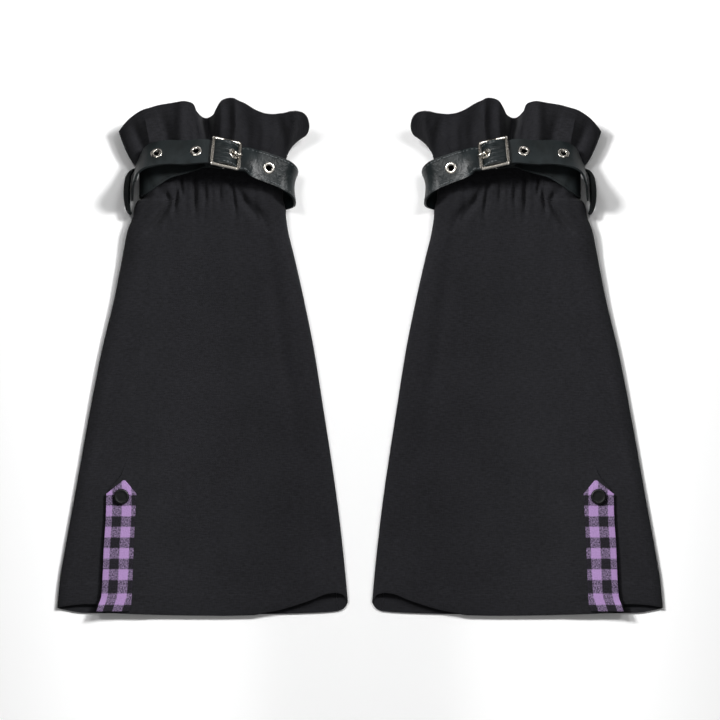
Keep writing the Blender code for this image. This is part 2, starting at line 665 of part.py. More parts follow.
def buckle_matrix():
    """From the buckle's own frame to the leg's."""
    return Matrix.Translation(BUCKLE_CENTRE) @ Matrix(buckle_axes()).transposed().to_4x4()


def rounded_block(size, corner, segments):
    bm = bmesh.new()
    bmesh.ops.create_cube(bm, size=1.0)
    bmesh.ops.scale(bm, vec=size, verts=bm.verts)
    upright = [e for e in bm.edges if abs(e.verts[0].co.z - e.verts[1].co.z) > size[2] / 2]
    bmesh.ops.bevel(bm, geom=upright, offset=corner, segments=segments, profile=0.5, affect="EDGES")
    return bm


def tube(points, radius):
    """A round wire through points, with closed ends."""
    curve = bpy.data.curves.new("wire", "CURVE")
    curve.dimensions = "3D"
    curve.bevel_depth = radius
    curve.bevel_resolution = 1
    curve.use_fill_caps = True
    spline = curve.splines.new("POLY")
    spline.points.add(len(points) - 1)
    for target, point in zip(spline.points, points):
        target.co = (*point, 1.0)
    wire = bpy.data.objects.new("wire", curve)
    bpy.context.collection.objects.link(wire)
    bpy.context.view_layer.update()
    mesh = bpy.data.meshes.new_from_object(wire.evaluated_get(bpy.context.evaluated_depsgraph_get()))
    bm = bmesh.new()
    bm.from_mesh(mesh)
    bpy.data.objects.remove(wire)
    bpy.data.meshes.remove(mesh)
    bmesh.ops.remove_doubles(bm, verts=bm.verts, dist=0.001)
    bmesh.ops.recalc_face_normals(bm, faces=bm.faces)
    return bm


def make_buckle(side):
    to_leg = buckle_matrix()
    frame_bm = rounded_block((FRAME_WIDTH, FRAME_HEIGHT, FRAME_BAR), FRAME_CORNER, 3)
    window_size = (FRAME_WIDTH - 2 * FRAME_BAR, FRAME_HEIGHT - 2 * FRAME_BAR, 4 * FRAME_BAR)
    window_bm = rounded_block(window_size, WINDOW_CORNER, 2)
    for bm in (frame_bm, window_bm):
        bmesh.ops.translate(bm, vec=(0, 0, FRAME_OUT), verts=bm.verts)
        bmesh.ops.transform(bm, matrix=to_leg, verts=bm.verts)
    reach = (FRAME_HEIGHT - FRAME_BAR) / 2
    bar_bm = tube(((0, -reach, FRAME_OUT), (0, -reach, BAR_OUT), (0, reach, BAR_OUT),
                   (0, reach, FRAME_OUT)), BAR_RADIUS)
    bmesh.ops.transform(bar_bm, matrix=to_leg, verts=bar_bm.verts)
    frame = add_object("buckle_frame", frame_bm, side, STEEL)
    add_cut(frame, add_object("buckle_window", window_bm, side, STEEL))
    add_cut(frame, add_object("buckle_bar", bar_bm, side, STEEL), "UNION")

    turn = BAR_RADIUS + GAP + PRONG_RADIUS
    points = []
    for degrees in range(*PRONG_TURN):
        angle = math.radians(degrees)
        points.append((turn * math.cos(angle), 0.0, BAR_OUT + turn * math.sin(angle)))
    points += [(along, 0.0, out) for along, out in PRONG_RUN]
    prong_bm = tube([point[:3] for point in smooth_path(points, 2.0)], PRONG_RADIUS)
    bmesh.ops.transform(prong_bm, matrix=to_leg, verts=prong_bm.verts)
    add_object("buckle_prong", prong_bm, side, STEEL)


def make_belt_loop(side):
    path = smooth_path([(point.u, point.v, 0.0, point.top) for point in LOOP_RUN], 3.5)
    bm, cells = grid(len(path) - 1, LOOP_ROWS)
    for vert, column, row in cells:
        height = row / LOOP_ROWS
        u, v, _, top = path[column]
        lean = LOOP_LEAN * math.sin(math.pi * column / (len(path) - 1)) ** 0.6 * height ** 1.5
        vert.co = (u + lean, v, mix(LOOP_BOTTOM, top, height))
    loop = add_object("belt_loop", bm, side, LEATHER)
    add_wall(loop, STRAP, 0.0)


def make_leg(side):
    stations = strap_stations()
    make_front_panel(side)
    make_back_panel(side)
    make_casing(side)
    make_ruffle(side)
    make_tab(side)
    make_button(side)
    make_strap(side, stations)
    make_eyelets(side, stations)
    make_buckle(side)
    make_belt_loop(side)


for leftover in list(bpy.data.objects):
    bpy.data.objects.remove(leftover)
for leg_side in (-1, 1):
    make_leg(leg_side)
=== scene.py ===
import math
import bmesh
import bpy
import numpy as np
from mathutils import Matrix, Vector


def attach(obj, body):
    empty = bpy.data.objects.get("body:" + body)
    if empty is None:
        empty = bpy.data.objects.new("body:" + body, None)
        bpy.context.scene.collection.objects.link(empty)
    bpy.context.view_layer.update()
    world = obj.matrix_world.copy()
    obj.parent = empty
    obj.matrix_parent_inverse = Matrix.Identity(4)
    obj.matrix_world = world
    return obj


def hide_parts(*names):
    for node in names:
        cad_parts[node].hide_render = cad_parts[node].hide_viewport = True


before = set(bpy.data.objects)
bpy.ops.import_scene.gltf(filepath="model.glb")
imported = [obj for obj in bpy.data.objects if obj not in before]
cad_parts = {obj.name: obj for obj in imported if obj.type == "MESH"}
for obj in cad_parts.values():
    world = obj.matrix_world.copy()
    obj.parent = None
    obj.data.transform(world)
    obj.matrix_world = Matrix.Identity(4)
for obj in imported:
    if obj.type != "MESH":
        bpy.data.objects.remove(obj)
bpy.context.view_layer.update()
print("frame loaded:", len(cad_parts), "nodes")

# Everything below is in millimetres, in one leg warmer's own frame: u across, v towards the ruffle,
# z up from the surface it lies on. Each piece is made once, then placed on the left and mirrored
# on the right.
mm = 0.001
scene = bpy.context.scene
pair = {"offset": 126.0, "cloth": 1.2, "gap": 0.3, "seamGap": 0.04}


def between(t, span, start, end, slopeFrom, slopeTo):
    # a smooth step from start to end, a fraction t along a span
    return ((1 + 2 * t) * (1 - t) ** 2 * start + t * (1 - t) ** 2 * span * slopeFrom
            + t * t * (3 - 2 * t) * end - t * t * (1 - t) * span * slopeTo)


def smoothCurve(points):
    # y(x) through the points, without overshoot, for single values and arrays
    x, y = np.array(points, float).T
    rise = np.diff(y) / np.diff(x)
    both = rise[:-1] * rise[1:]
    safe = np.where(both > 0, rise[:-1] + rise[1:], 1.0)
    slope = np.concatenate([rise[:1], np.where(both > 0, 2 * both / safe, 0.0), rise[-1:]])

    def value(at):
        at = np.clip(at, x[0], x[-1])
        i = np.clip(np.searchsorted(x, at, "right") - 1, 0, len(x) - 2)
        span = x[i + 1] - x[i]
        return between((at - x[i]) / span, span, y[i], y[i + 1], slope[i], slope[i + 1])

    return value


def smoothPath(rows, longest):
    # rows of numbers that start with a place in space, filled in along a smooth curve
    rows = [np.array(row, float) for row in rows]
    gaps = [np.linalg.norm(b[:3] - a[:3]) for a, b in zip(rows, rows[1:])]
    speeds = [(rows[1] - rows[0]) / gaps[0]]
    for i in range(1, len(rows) - 1):
        before = (rows[i] - rows[i - 1]) / gaps[i - 1]
        after = (rows[i + 1] - rows[i]) / gaps[i]
        speeds.append((before * gaps[i] + after * gaps[i - 1]) / (gaps[i] + gaps[i - 1]))
    speeds.append((rows[-1] - rows[-2]) / gaps[-1])
    path = [rows[0]]
    for i, gap in enumerate(gaps):
        steps = max(1, math.ceil(gap / longest))
        for step in range(1, steps + 1):
            path.append(between(step / steps, gap, rows[i], rows[i + 1], speeds[i], speeds[i + 1]))
    return np.array(path)


def ease(x, start, end):
    t = np.clip((x - start) / (end - start), 0.0, 1.0)
    return t * t * (3 - 2 * t)


def mix(a, b, t):
    return a + (b - a) * t


def creaseDepth(u, v, creases):
    # sum of soft troughs, each (path, half width, depth); a depth below nothing is a ridge
    depth = np.zeros(np.broadcast(u, v).shape)
    for path, width, deep in creases:
        line = smoothPath([(x, y, 0.0) for x, y in path], 6.0)
        nearest = np.full(depth.shape, 1e9)
        along = np.zeros(depth.shape)
        for k in range(len(line) - 1):
            start, step = line[k][:2], line[k + 1][:2] - line[k][:2]
            t = np.clip(((u - start[0]) * step[0] + (v - start[1]) * step[1]) / step.dot(step), 0, 1)
            away = np.hypot(u - start[0] - t * step[0], v - start[1] - t * step[1])
            along = np.where(away < nearest, (k + t) / (len(line) - 1), along)
            nearest = np.minimum(nearest, away)
        taper = ease(along, -0.12, 0.35) * ease(1.0 - along, 0.0, 0.45)
        depth += deep * taper * np.exp(-(nearest / width) ** 2)
    return depth


def arcAcross(points, zero):
    # how far along its row each point is, measured round the folds from where u is zero
    steps = np.linalg.norm(np.diff(points, axis=1), axis=2)
    length = np.concatenate([np.zeros((len(points), 1)), np.cumsum(steps, axis=1)], axis=1)
    if not zero:
        return length
    start = [np.interp(0.0, *zip(*sorted(zip(row[:zero, 0], distance[:zero]))))
             for row, distance in zip(points, length)]
    return length - np.array(start)[:, None]


def linear(hexColour):
    parts = [int(hexColour[i:i + 2], 16) / 255 for i in (1, 3, 5)]
    return [*(c / 12.92 if c <= 0.04045 else ((c + 0.055) / 1.055) ** 2.4 for c in parts), 1.0]


class Finish:
    # a material with short calls that add its nodes; inputs hold a plain value or another node's socket
    def __init__(self, name, inputs):
        self.material = bpy.data.materials.new(name)
        self.material.use_nodes = True
        self.tree = self.material.node_tree
        self.surface(inputs)

    def feed(self, node, inputs):
        for name, value in inputs.items():
            if isinstance(value, bpy.types.NodeSocket):
                self.tree.links.new(value, node.inputs[name])
            else:
                node.inputs[name].default_value = value

    def surface(self, inputs):
        self.feed(self.tree.nodes["Principled BSDF"], inputs)

    def add(self, kind, inputs, settings=None):
        node = self.tree.nodes.new("ShaderNode" + kind)
        for name, value in (settings or {}).items():
            setattr(node, name, value)
        self.feed(node, inputs)
        return node

    def weave(self):
        return self.add("UVMap", {}, {"uv_map": "weave"}).outputs["UV"]

    def axis(self, name):
        return self.add("SeparateXYZ", {"Vector": self.weave()}).outputs[name]

    def stretched(self, across, along, seed, detail=2.0):
        # noise on the cloth's own map, whose unit is a millimetre, drawn out to across by along
        fitted = self.add("Mapping", {"Vector": self.weave(), "Location": (seed, seed, 0),
                                      "Scale": (1 / across, 1 / along, 1.0)})
        return self.add("TexNoise", {"Vector": fitted.outputs["Vector"], "Scale": 1.0, "Detail": detail,
                                     "Roughness": 0.55}).outputs["Fac"]

    def speckled(self, scale, detail):
        place = self.add("TexCoord", {}).outputs["Object"]
        return self.add("TexNoise", {"Vector": place, "Scale": scale, "Detail": detail}).outputs["Fac"]

    def math(self, operation, a, b=0.0):
        return self.add("Math", {0: a, 1: b}, {"operation": operation}).outputs[0]

    def plus(self, a, b):
        return self.math("ADD", a, b)

    def times(self, a, b):
        return self.math("MULTIPLY", a, b)

    def spanned(self, value, start, end, low=0.0, high=1.0):
        return self.add("MapRange", {"Value": value, "From Min": start, "From Max": end, "To Min": low,
                                     "To Max": high}).outputs["Result"]

    def near(self, value, middle, start, end):
        # 1 within the end's distance of the middle, 0 past the start's
        return self.spanned(self.math("ABSOLUTE", self.math("SUBTRACT", value, middle)), start, end)

    def shaded(self, value, start, end, look):
        node = self.add("ValToRGB", {"Fac": value})
        for stop, place, colour in zip(node.color_ramp.elements, (start, end), ("dark", "light")):
            stop.position = place
            stop.color = linear(look[colour])
        return node.outputs["Color"]

    def mixed(self, share, first, second, blend="MIX"):
        return self.add("MixRGB", {"Fac": share, "Color1": first, "Color2": second},
                        {"blend_type": blend}).outputs["Color"]

    def bump(self, height, strength, depth):
        relief = self.add("Bump", {"Height": height, "Strength": strength, "Distance": depth * mm})
        self.surface({"Normal": relief.outputs["Normal"]})


clothLook = {
    "dark": "#0e0e11", "light": "#212125",  # the yarn's own range
    "slubLong": 5.0, "slubThick": 1.1,  # the thick weft yarns, drawn 2 times as coarse as real
    "warpLong": 4.0, "warpThick": 1.0,
    "bump": 0.22,  # mm
}


def cottonTwill(name, look):
    # brushed cotton twill, woven from uneven yarn and dyed black: matte, a little dusty at a low angle
    finish = Finish(name, {"Roughness": 0.92, "Specular IOR Level": 0.25, "Sheen Weight": 0.05,
                           "Sheen Roughness": 0.45})
    slub = finish.stretched(look["slubLong"], look["slubThick"], 3.0)
    warp = finish.stretched(look["warpThick"], look["warpLong"], 17.0)
    patches = finish.stretched(46.0, 38.0, 31.0, 3.0)
    yarn = finish.plus(finish.times(slub, 0.62), finish.times(warp, 0.38))
    shade = finish.plus(finish.times(yarn, 0.8), finish.times(patches, 0.2))
    finish.surface({"Base Color": finish.shaded(shade, 0.34, 0.68, look)})
    finish.bump(yarn, 0.9, look["bump"])
    return finish.material


ginghamLook = {
    "purple": "#a585b7", "black": "#0f0e11", "blackLight": "#221f28",
    "mixDark": "#1a1322", "mixLight": "#8e7a9c",
    "column": 16.1, "row": 17.8,  # one light and one dark stripe
    "firstColumn": 1.1, "firstRow": 13.0,  # where a light stripe's middle lies on the tab's map
    "thread": 1.1,  # drawn 3 times as coarse as real, so that it shows
}


def gingham(name, look):
    # brushed gingham: purple and black yarn in both directions, mixed where they cross
    finish = Finish(name, {"Roughness": 0.9, "Specular IOR Level": 0.2, "Sheen Weight": 0.08,
                           "Sheen Roughness": 0.5})

    def stripe(axis, pitch, first):
        # 1 in a light stripe and 0 in a dark one, with a slightly woolly edge
        wobble = finish.times(finish.stretched(1.6, 1.6, first), 0.9)
        shifted = finish.plus(finish.axis(axis), wobble)
        turn = finish.times(finish.math("SUBTRACT", shifted, first + 0.45), math.tau / pitch)
        return finish.spanned(finish.math("COSINE", turn), -0.16, 0.16)

    column = stripe("X", look["column"], look["firstColumn"])
    row = stripe("Y", look["row"], look["firstRow"])
    both, either = finish.times(column, row), finish.math("MAXIMUM", column, row)
    mottle = finish.spanned(finish.stretched(look["thread"], look["thread"], 5.0), 0.3, 0.7)
    black = finish.mixed(mottle, linear(look["black"]), linear(look["blackLight"]))
    half = finish.mixed(mottle, linear(look["mixDark"]), linear(look["mixLight"]))
    woven = finish.mixed(both, finish.mixed(either, black, half), linear(look["purple"]))
    finish.surface({"Base Color": finish.mixed(0.16, woven, mottle, "MULTIPLY")})
    finish.bump(mottle, 0.7, 0.2)
    return finish.material


leatherLook = {
    "dark": "#0a1011", "light": "#151c1e", "shine": 0.32,
    "grain": 0.9, "soft": 9.0, "crumple": 4.2,  # mm, the grain drawn 2 times as coarse as real
    "worn": 296.0, "wornReach": 52.0,  # creased by the buckle, as mm along the belt
    "arch": 325.0,  # the middle of its arch through the buckle
    "inner": 235.0,  # before this many mm it lies inside and stays dull
}
# painted shade: a darker copy of the belt's leather for the upright loop at its side, also less shiny
paintedShadeLoopLook = {**leatherLook, "dark": "#090c0d", "light": "#111516", "shine": 0.1}


def coatedLeather(name, look):
    # faux leather, a black coating pressed with a fine grain on cloth: brighter where it is creased
    finish = Finish(name, {"Roughness": 0.42, "Specular IOR Level": look["shine"]})
    grainSize = finish.add("Mapping", {"Vector": finish.weave(), "Scale": [1 / look["grain"]] * 3})
    grain = finish.add("TexVoronoi", {"Vector": grainSize.outputs["Vector"], "Scale": 1.0},
                       {"feature": "SMOOTH_F1"}).outputs["Distance"]
    soft = finish.stretched(look["soft"], look["soft"] * 1.6, 8.0, 3.0)
    crumple = finish.stretched(look["crumple"], look["crumple"] * 1.4, 21.0, 4.0)
    along = finish.axis("X")
    worn = finish.near(along, look["worn"], look["wornReach"], look["wornReach"] * 0.6)
    creased = finish.times(finish.times(crumple, worn), 2.3)
    # wrinkles along the belt where it arches through the buckle
    arched = finish.times(finish.near(along, look["arch"], 16.0, 8.0), 4.5)
    lines = finish.times(finish.stretched(30.0, 3.4, 45.0), arched)
    creased = finish.plus(creased, lines)
    height = finish.plus(finish.times(grain, 0.2), finish.plus(soft, creased))
    dull = finish.spanned(soft, 0.0, 1.0, 0.4, 0.56)
    inner = finish.spanned(along, look["inner"], look["inner"] * 0.8, 0.0, 0.3)
    rough = finish.plus(inner, finish.math("SUBTRACT", dull, finish.times(worn, 0.08)))
    finish.surface({"Base Color": finish.shaded(soft, 0.35, 0.7, look), "Roughness": rough})
    finish.bump(height, 0.7, 0.4)
    return finish.material


def platedNickel(name):
    # nickel plate on die-cast zinc, polished: bright and slightly warm, with faint smears
    finish = Finish(name, {"Base Color": linear("#c6c1b9"), "Metallic": 1.0})
    finish.surface({"Roughness": finish.spanned(finish.speckled(420.0, 3.0), 0.0, 1.0, 0.14, 0.34)})
    return finish.material


def mouldedButton(name):
    # moulded polyester button, tumbled to a satin skin: near black, with a soft rim light
    finish = Finish(name, {"Base Color": linear("#060707"), "IOR": 1.36})
    speck = finish.speckled(900.0, 2.0)
    finish.surface({"Roughness": finish.spanned(speck, 0.0, 1.0, 0.34, 0.5)})
    finish.bump(speck, 0.25, 0.1)
    return finish.material


def sewingThread(name, colour):
    # spun polyester thread, a little shinier than the cloth, in the colour given: black dyed to match, or
    # grey as a painted highlight
    return Finish(name, {"Base Color": linear(colour), "Roughness": 0.6,
                         "Specular IOR Level": 0.2}).material


finishes = {
    "cotton": cottonTwill("black_cotton_twill", clothLook),
    "gingham": gingham("purple_gingham", ginghamLook),
    "leather": coatedLeather("black_coated_leather", leatherLook),
    "paintedShadeLoopLeather": coatedLeather("dull_painted_shade_leather", paintedShadeLoopLook),
    "nickel": platedNickel("nickel_plate"),
    "button": mouldedButton("satin_black_button"),
    "thread": sewingThread("black_thread", "#0d0d10"),
    # painted highlight: grey thread, lighter than the belt, for the stitches along its outer part
    "paintedHighlightThread": sewingThread("painted_highlight_thread", "#6a6e70"),
}
print("materials made:", len(finishes))
legs = ("left", "right")


def placedOn(leg):
    side = -1 if leg == "left" else 1
    return Matrix(((-side * mm, 0, 0, side * pair["offset"] * mm), (0, mm, 0, 0), (0, 0, mm, 0),
                   (0, 0, 0, 1)))


def addPiece(name, mesh, finish, nodes=(), wall=0.0, wallOffset=-1.0, bevel=0.0, sharp=45):
    # two objects, left and right, from one mesh in the leg's own frame
    made = []
    for leg in legs:
        half = mesh.copy()
        bmesh.ops.transform(half, matrix=placedOn(leg), verts=half.verts)
        if leg == "right":
            bmesh.ops.reverse_faces(half, faces=half.faces)
        for face in half.faces:
            face.smooth = True
        for edge in half.edges:
            edge.smooth = edge.is_manifold and edge.calc_face_angle() < math.radians(sharp)
        data = bpy.data.meshes.new(f"{leg}_{name}")
        half.to_mesh(data)
        half.free()
        data.materials.append(finishes[finish])
        piece = bpy.data.objects.new(data.name, data)
        scene.collection.objects.link(piece)
        if wall:
            shell = piece.modifiers.new("wall", "SOLIDIFY")
            shell.thickness = wall * mm
            shell.offset = wallOffset
            shell.use_even_offset = wallOffset == 0.0
        if bevel:
            edge = piece.modifiers.new("rounded edges", "BEVEL")
            edge.width = bevel * mm
            edge.segments = 2
            edge.limit_method = "ANGLE"
            edge.angle_limit = math.radians(55)
        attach(piece, "root")
        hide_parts(*[f"{leg}_{node}" for node in nodes])
        made.append(piece)
    mesh.free()
    return made


def addCotton(name, mesh):
    return addPiece(f"{name}_cloth", mesh, "cotton", [name], wall=pair["cloth"])


def sheetMesh(points, across, along):
    # a grid of cloth laid on points[row][column], with its map in millimetres
    rows, columns = len(points) - 1, len(points[0]) - 1
    mesh = bmesh.new()
    bmesh.ops.create_grid(mesh, x_segments=columns, y_segments=rows, size=0.5)
    cells = {}
    for vert in mesh.verts:
        cell = round((vert.co.y + 0.5) * rows), round((vert.co.x + 0.5) * columns)
        cells[vert.index] = cell
        vert.co = points[cell]
    layout = mesh.loops.layers.uv.new("weave")
    for face in mesh.faces:
        for loop in face.loops:
            cell = cells[loop.vert.index]
            loop[layout].uv = (across[cell], along[cell])
    return mesh


def lathe(profile, steps):
    # a turned piece about z, from (radius, height) points
    mesh = bmesh.new()
    verts = [mesh.verts.new((radius, 0.0, height)) for radius, height in profile]
    edges = [mesh.edges.new(two) for two in zip(verts, verts[1:])]
    if profile[0][0] > 0:
        edges.append(mesh.edges.new((verts[-1], verts[0])))
    bmesh.ops.spin(mesh, geom=verts + edges, cent=(0, 0, 0), axis=(0, 0, 1), angle=math.tau,
                   steps=steps, use_merge=True)
    bmesh.ops.remove_doubles(mesh, verts=mesh.verts, dist=0.001)
    bmesh.ops.recalc_face_normals(mesh, faces=mesh.faces)
    return mesh


def addStitches(mesh, places, length, thick):
    # short threads, each (middle, direction along the seam, outward)
    for middle, direction, outward in places:
        x = Vector(direction).normalized()
        z = Vector(outward)
        z = (z - z.dot(x) * x).normalized()
        turn = Matrix((x, z.cross(x), z)).transposed().to_4x4()
        size = Matrix.Diagonal((length / 2, thick / 2, thick / 2, 1.0))
        bmesh.ops.create_icosphere(mesh, subdivisions=1, radius=1.0,
                                   matrix=Matrix.Translation(middle) @ turn @ size)


# The cloth tube.

tube = {
    # v, left and right edges, lowest and highest surface, edge radius, width of the rounding above it
    "sections": (
        (-217.3, -128.9, 116.8, 0.0, 4.4, 1.9, 8.0), (-187.0, -126.0, 114.2, 0.0, 4.5, 1.9, 8.0),
        (-162.0, -121.8, 111.7, 0.0, 4.7, 2.0, 8.5), (-120.0, -114.2, 106.7, 0.0, 5.0, 2.0, 9.0),
        (-36.0, -99.1, 94.1, 0.0, 6.4, 2.3, 11.0), (6.0, -90.7, 87.4, 0.0, 7.6, 2.6, 12.0),
        (48.0, -80.6, 79.0, 0.0, 9.6, 3.2, 14.0), (82.0, -73.9, 71.4, 0.0, 12.2, 3.9, 16.0),
        (107.0, -68.9, 65.5, 1.3, 15.0, 4.5, 18.0), (118.0, -64.6, 64.0, 2.2, 16.2, 4.8, 19.0),
        (123.0, -64.0, 63.6, 2.2, 16.8, 4.9, 19.5), (127.5, -62.8, 62.8, 2.2, 17.2, 5.0, 20.0),
        (131.0, -60.6, 61.6, 2.2, 17.3, 5.0, 20.0), (133.4, -56.4, 61.2, 2.2, 17.4, 5.0, 20.0),
        (158.0, -56.0, 61.0, 2.2, 17.0, 5.0, 20.0)),
    "seam": ((-217, -95.4), (-208, -94.8), (-200, -91.6), (-160, -89.2), (-124, -87.3), (-112, -84.5),
             (-98, -74), (-67, -66.5), (2, -59.5), (69, -51.5), (100, -44.5), (132, -36)),
    "neckStart": 131.2, "neckEnd": 157.0,
    "turnUnder": 7.0, "seamDip": 0.07,
    "ventTop": -112.0, "ventLift": 1.5, "ventFlare": 1.6, "liftRun": (-106.0, -86.0),
    "flareRun": (120.0, 214.0), "flareReach": (4.0, 30.0),
    "cornerLift": 2.6,  # the front hem stands off the back at its right end
    "cornerRun": (-214.0, -140.0), "cornerSides": ((26.0, 88.0), (102.0, 116.0)),
    "underlap": 18.0, "underlapRun": 6.0, "settle": (14.0, 40.0),
    "gatherPitch": 8.6, "gatherDepth": 0.9,
    "hemWidth": 19.5, "hemRise": 0.45,
}
names = ("left", "right", "base", "top", "fold", "shoulder")
section = {name: smoothCurve([(row[0], row[i + 1]) for row in tube["sections"]])
           for i, name in enumerate(names)}
seamAt = smoothCurve(tube["seam"])

# Where the cloth is pulled together or has been folded: (path from the neck down, half width, depth).
frontCreases = (
    (((-50, 152), (-40, 139), (-34, 131), (-38, 122), (-57, 102)), 2.5, 3.2),
    (((-37, 127), (-42, 116), (-50, 107), (-61, 97)), 2.3, 2.4),
    (((-25, 156), (-24, 146), (-23, 132)), 1.6, 3.6), (((-27, 142), (-28, 134), (-31, 118)), 1.7, 3.8),
    (((-13, 158), (-12.5, 140), (-13.5, 114)), 1.6, 4.0), (((-4, 148), (-3, 124)), 1.8, 2.2),
    (((7, 150), (9, 126)), 1.9, 2.2), (((17, 152), (20, 134), (22, 112)), 1.9, 3.4),
    (((22, 146), (29, 131), (38, 119), (45, 106)), 2.8, 4.2),
    (((32, 132), (44, 118), (52, 100)), 2.6, 2.4),
    (((38, 119), (44, 109), (48, 98), (54, 60), (60, 12), (68, -36), (75, -102)), 6.5, 1.7),
    (((50, 132), (55, 112), (58, 96)), 2.6, 1.5), (((-49, 134), (-58, 112)), 2.4, 1.0),
    (((66, 66), (76, 42)), 5.0, 1.3), (((88, -136), (103, -165)), 6.0, 0.9),
    (((-66, 98), (-74, 66)), 4.0, 0.9),
    (((-20, 112), (-22, 70), (-18, 20)), 9.0, -0.8), (((12, 108), (16, 60), (12, 6)), 11.0, -0.9),
    (((30, 30), (36, -60), (34, -150)), 16.0, -0.5), (((-40, 20), (-36, -70), (-44, -160)), 18.0, -0.5),
    (((-78, 40), (-92, -40), (-108, -130), (-116, -196)), 6.0, -0.7),
    (((-8, -120), (4, -175), (2, -212)), 15.0, 0.45), (((60, -150), (66, -190), (64, -212)), 12.0, 0.4),
)
backCreases = (
    (((-38, 128), (-44, 96), (-52, 60)), 3.5, 1.2), (((-18, 130), (-20, 104)), 2.6, 1.0),
    (((-2, 128), (2, 96), (0, 70)), 3.0, 1.1), (((16, 130), (18, 108)), 2.4, 0.9),
    (((32, 128), (40, 92), (50, 30)), 4.0, 1.2), (((-70, -20), (-40, -44), (-12, -48)), 6.0, 0.8),
    (((70, -90), (40, -112), (6, -118)), 7.0, 0.8), (((-30, 30), (4, 22), (30, 34)), 6.0, 0.7),
    (((-84, -150), (-60, -164), (-30, -160)), 8.0, 0.7),
)


def gathers(u, v):
    # uneven pleats drawn in by the elastic, 0 to 1, that run out at uneven lengths below it
    turn = u / tube["gatherPitch"] + 0.32 * np.sin(u / 17.0 + 0.6) + 0.14 * np.sin(u / 6.1)
    trough = (0.5 - 0.5 * np.cos(math.tau * turn)) ** 1.6
    uneven = 0.75 + 0.25 * np.sin(u / 9.3 + 2.0)
    end = 121.0 + 7.0 * np.sin(u / 12.0 + 1.0) + 6.0 * np.sin(u / 5.1)
    return trough * uneven * ease(v, end - 14.0, end + 12.0)


def topHeight(u, v, relief):
    # outer surface of the upper side, with its relief faded out over the rounded edges
    left, right, shoulder = section["left"](v), section["right"](v), section["shoulder"](v)
    middle = section["base"](v) + section["fold"](v)
    inset = np.maximum(np.maximum(left + shoulder - u, u - right + shoulder), 0.0) / shoulder
    rise = np.sqrt(np.maximum(1.0 - inset * inset, 0.0))
    return middle + (section["top"](v) + relief - middle) * rise


def bodyRelief(u, v):
    slow = 0.35 * np.sin(u / 31.0 + v / 90.0) * np.sin(v / 37.0 + 0.8)
    return slow - creaseDepth(u, v, frontCreases) - tube["gatherDepth"] * gathers(u, v)


def ventLift(u, v):
    across = 1.0 - ease(u - seamAt(v) - tube["underlap"], *tube["settle"])
    along = 1.0 - ease(v, *tube["liftRun"])
    out = 1.0 - ease(u - seamAt(v), *tube["flareReach"])
    flare = tube["ventFlare"] * ease(-v, *tube["flareRun"]) * out
    start, end = tube["cornerSides"]
    corner = (1.0 - ease(v, *tube["cornerRun"])) * ease(u, *start) * (1.0 - ease(u, *end))
    return (tube["ventLift"] + flare) * across * along + tube["cornerLift"] * corner


def hemRelief(above):
    # the turned-up hem: a double layer with a sunk seam at its top and a rounded lower edge
    width = tube["hemWidth"]
    step = tube["hemRise"] * (1.0 - ease(above, width - 0.4, width + 1.6))
    return step - 0.4 * np.exp(-((above - width + 0.6) / 1.1) ** 2) - 0.5 * np.exp(-above / 1.1)


def seamDip(u, v):
    sewn = ease(v, tube["ventTop"] - 4, tube["ventTop"] + 8)
    return tube["seamDip"] * np.exp(-((u - seamAt(v)) / 2.4) ** 2) * sewn


def spanSteps(spans):
    # (span, fraction) for each column of a sheet that runs over several spans
    steps = [(name, k / count) for name, count in spans for k in range(count)]
    return steps + [(spans[-1][0], 1.0)]


def tubeEdge(v, span, t):
    # u at v, a fraction t along a span, and z where the span isn't on the upper side
    left, right = section["left"](v), section["right"](v)
    base, fold, shoulder = section["base"](v), section["fold"](v), section["shoulder"](v)
    turn = t * math.pi / 2
    if span == "rightFold":
        return right - fold + fold * math.cos(turn), base + fold - fold * math.sin(turn)
    if span in ("underside", "turnedUnder", "back"):
        start = tube["turnUnder"] + pair["seamGap"] if span == "back" else 0.0
        end = right - fold - tube["turnUnder"] if span == "turnedUnder" else left + fold
        return mix(right - fold - start, end, t), base
    if span == "leftFold":
        return left + fold - fold * math.sin(turn), base + fold - fold * math.cos(turn)
    tucked = 1.0 - ease(v, tube["ventTop"] - tube["underlapRun"], tube["ventTop"])
    end = seamAt(v) - pair["seamGap"] / 2 + (tube["underlap"] + pair["gap"]) * tucked
    inner = np.minimum(shoulder, end - left - 5.0) if span in ("leftShoulder", "strip") else shoulder
    if span == "leftShoulder":
        return left + inner - inner * math.cos(turn), None
    if span == "rightShoulder":
        return right - shoulder + shoulder * math.sin(turn), None
    if span == "top":
        return mix(left + shoulder, right - shoulder, t), None
    if span == "front":
        return mix(seamAt(v) + pair["seamGap"] / 2, right - shoulder, t), None
    return mix(left + inner, end, t), None


hems = {
    "level": -205.0,  # the section whose u the hems are read at
    "front": ((-96, -214), (-65.5, -215.8), (-22.7, -217), (11.8, -217.3), (37, -216.8), (45.4, -215),
              (58.8, -212.3), (73.1, -208.1), (86.5, -203.5), (98.3, -198.9), (106, -198),
              (111.7, -199.3), (114.2, -202), (116.4, -204.8)),
    "back": ((-128.4, -210.8), (-120, -212.6), (-105, -214.9), (-65, -215.4), (12, -216.4),
             (63, -215.6), (88, -214.8), (105.8, -213.5), (112.6, -210.8), (116.4, -204.8)),
    "side": ((-128.4, -210.8), (-122.6, -209.4), (-113, -208.1), (-102.5, -207.5), (-70, -208.4)),
}
panels = {
    "hemRows": 22, "hemStep": 1.1, "rows": 165,
    "frontSpans": (("front", 92), ("rightShoulder", 10), ("rightFold", 6), ("turnedUnder", 3)),
    "backSpans": (("back", 70), ("leftFold", 6), ("leftShoulder", 10), ("strip", 20)),
    "upper": ("front", "rightShoulder", "leftShoulder", "strip"),
}
hemCurve = {name: smoothCurve(hems[name]) for name in ("front", "back", "side")}


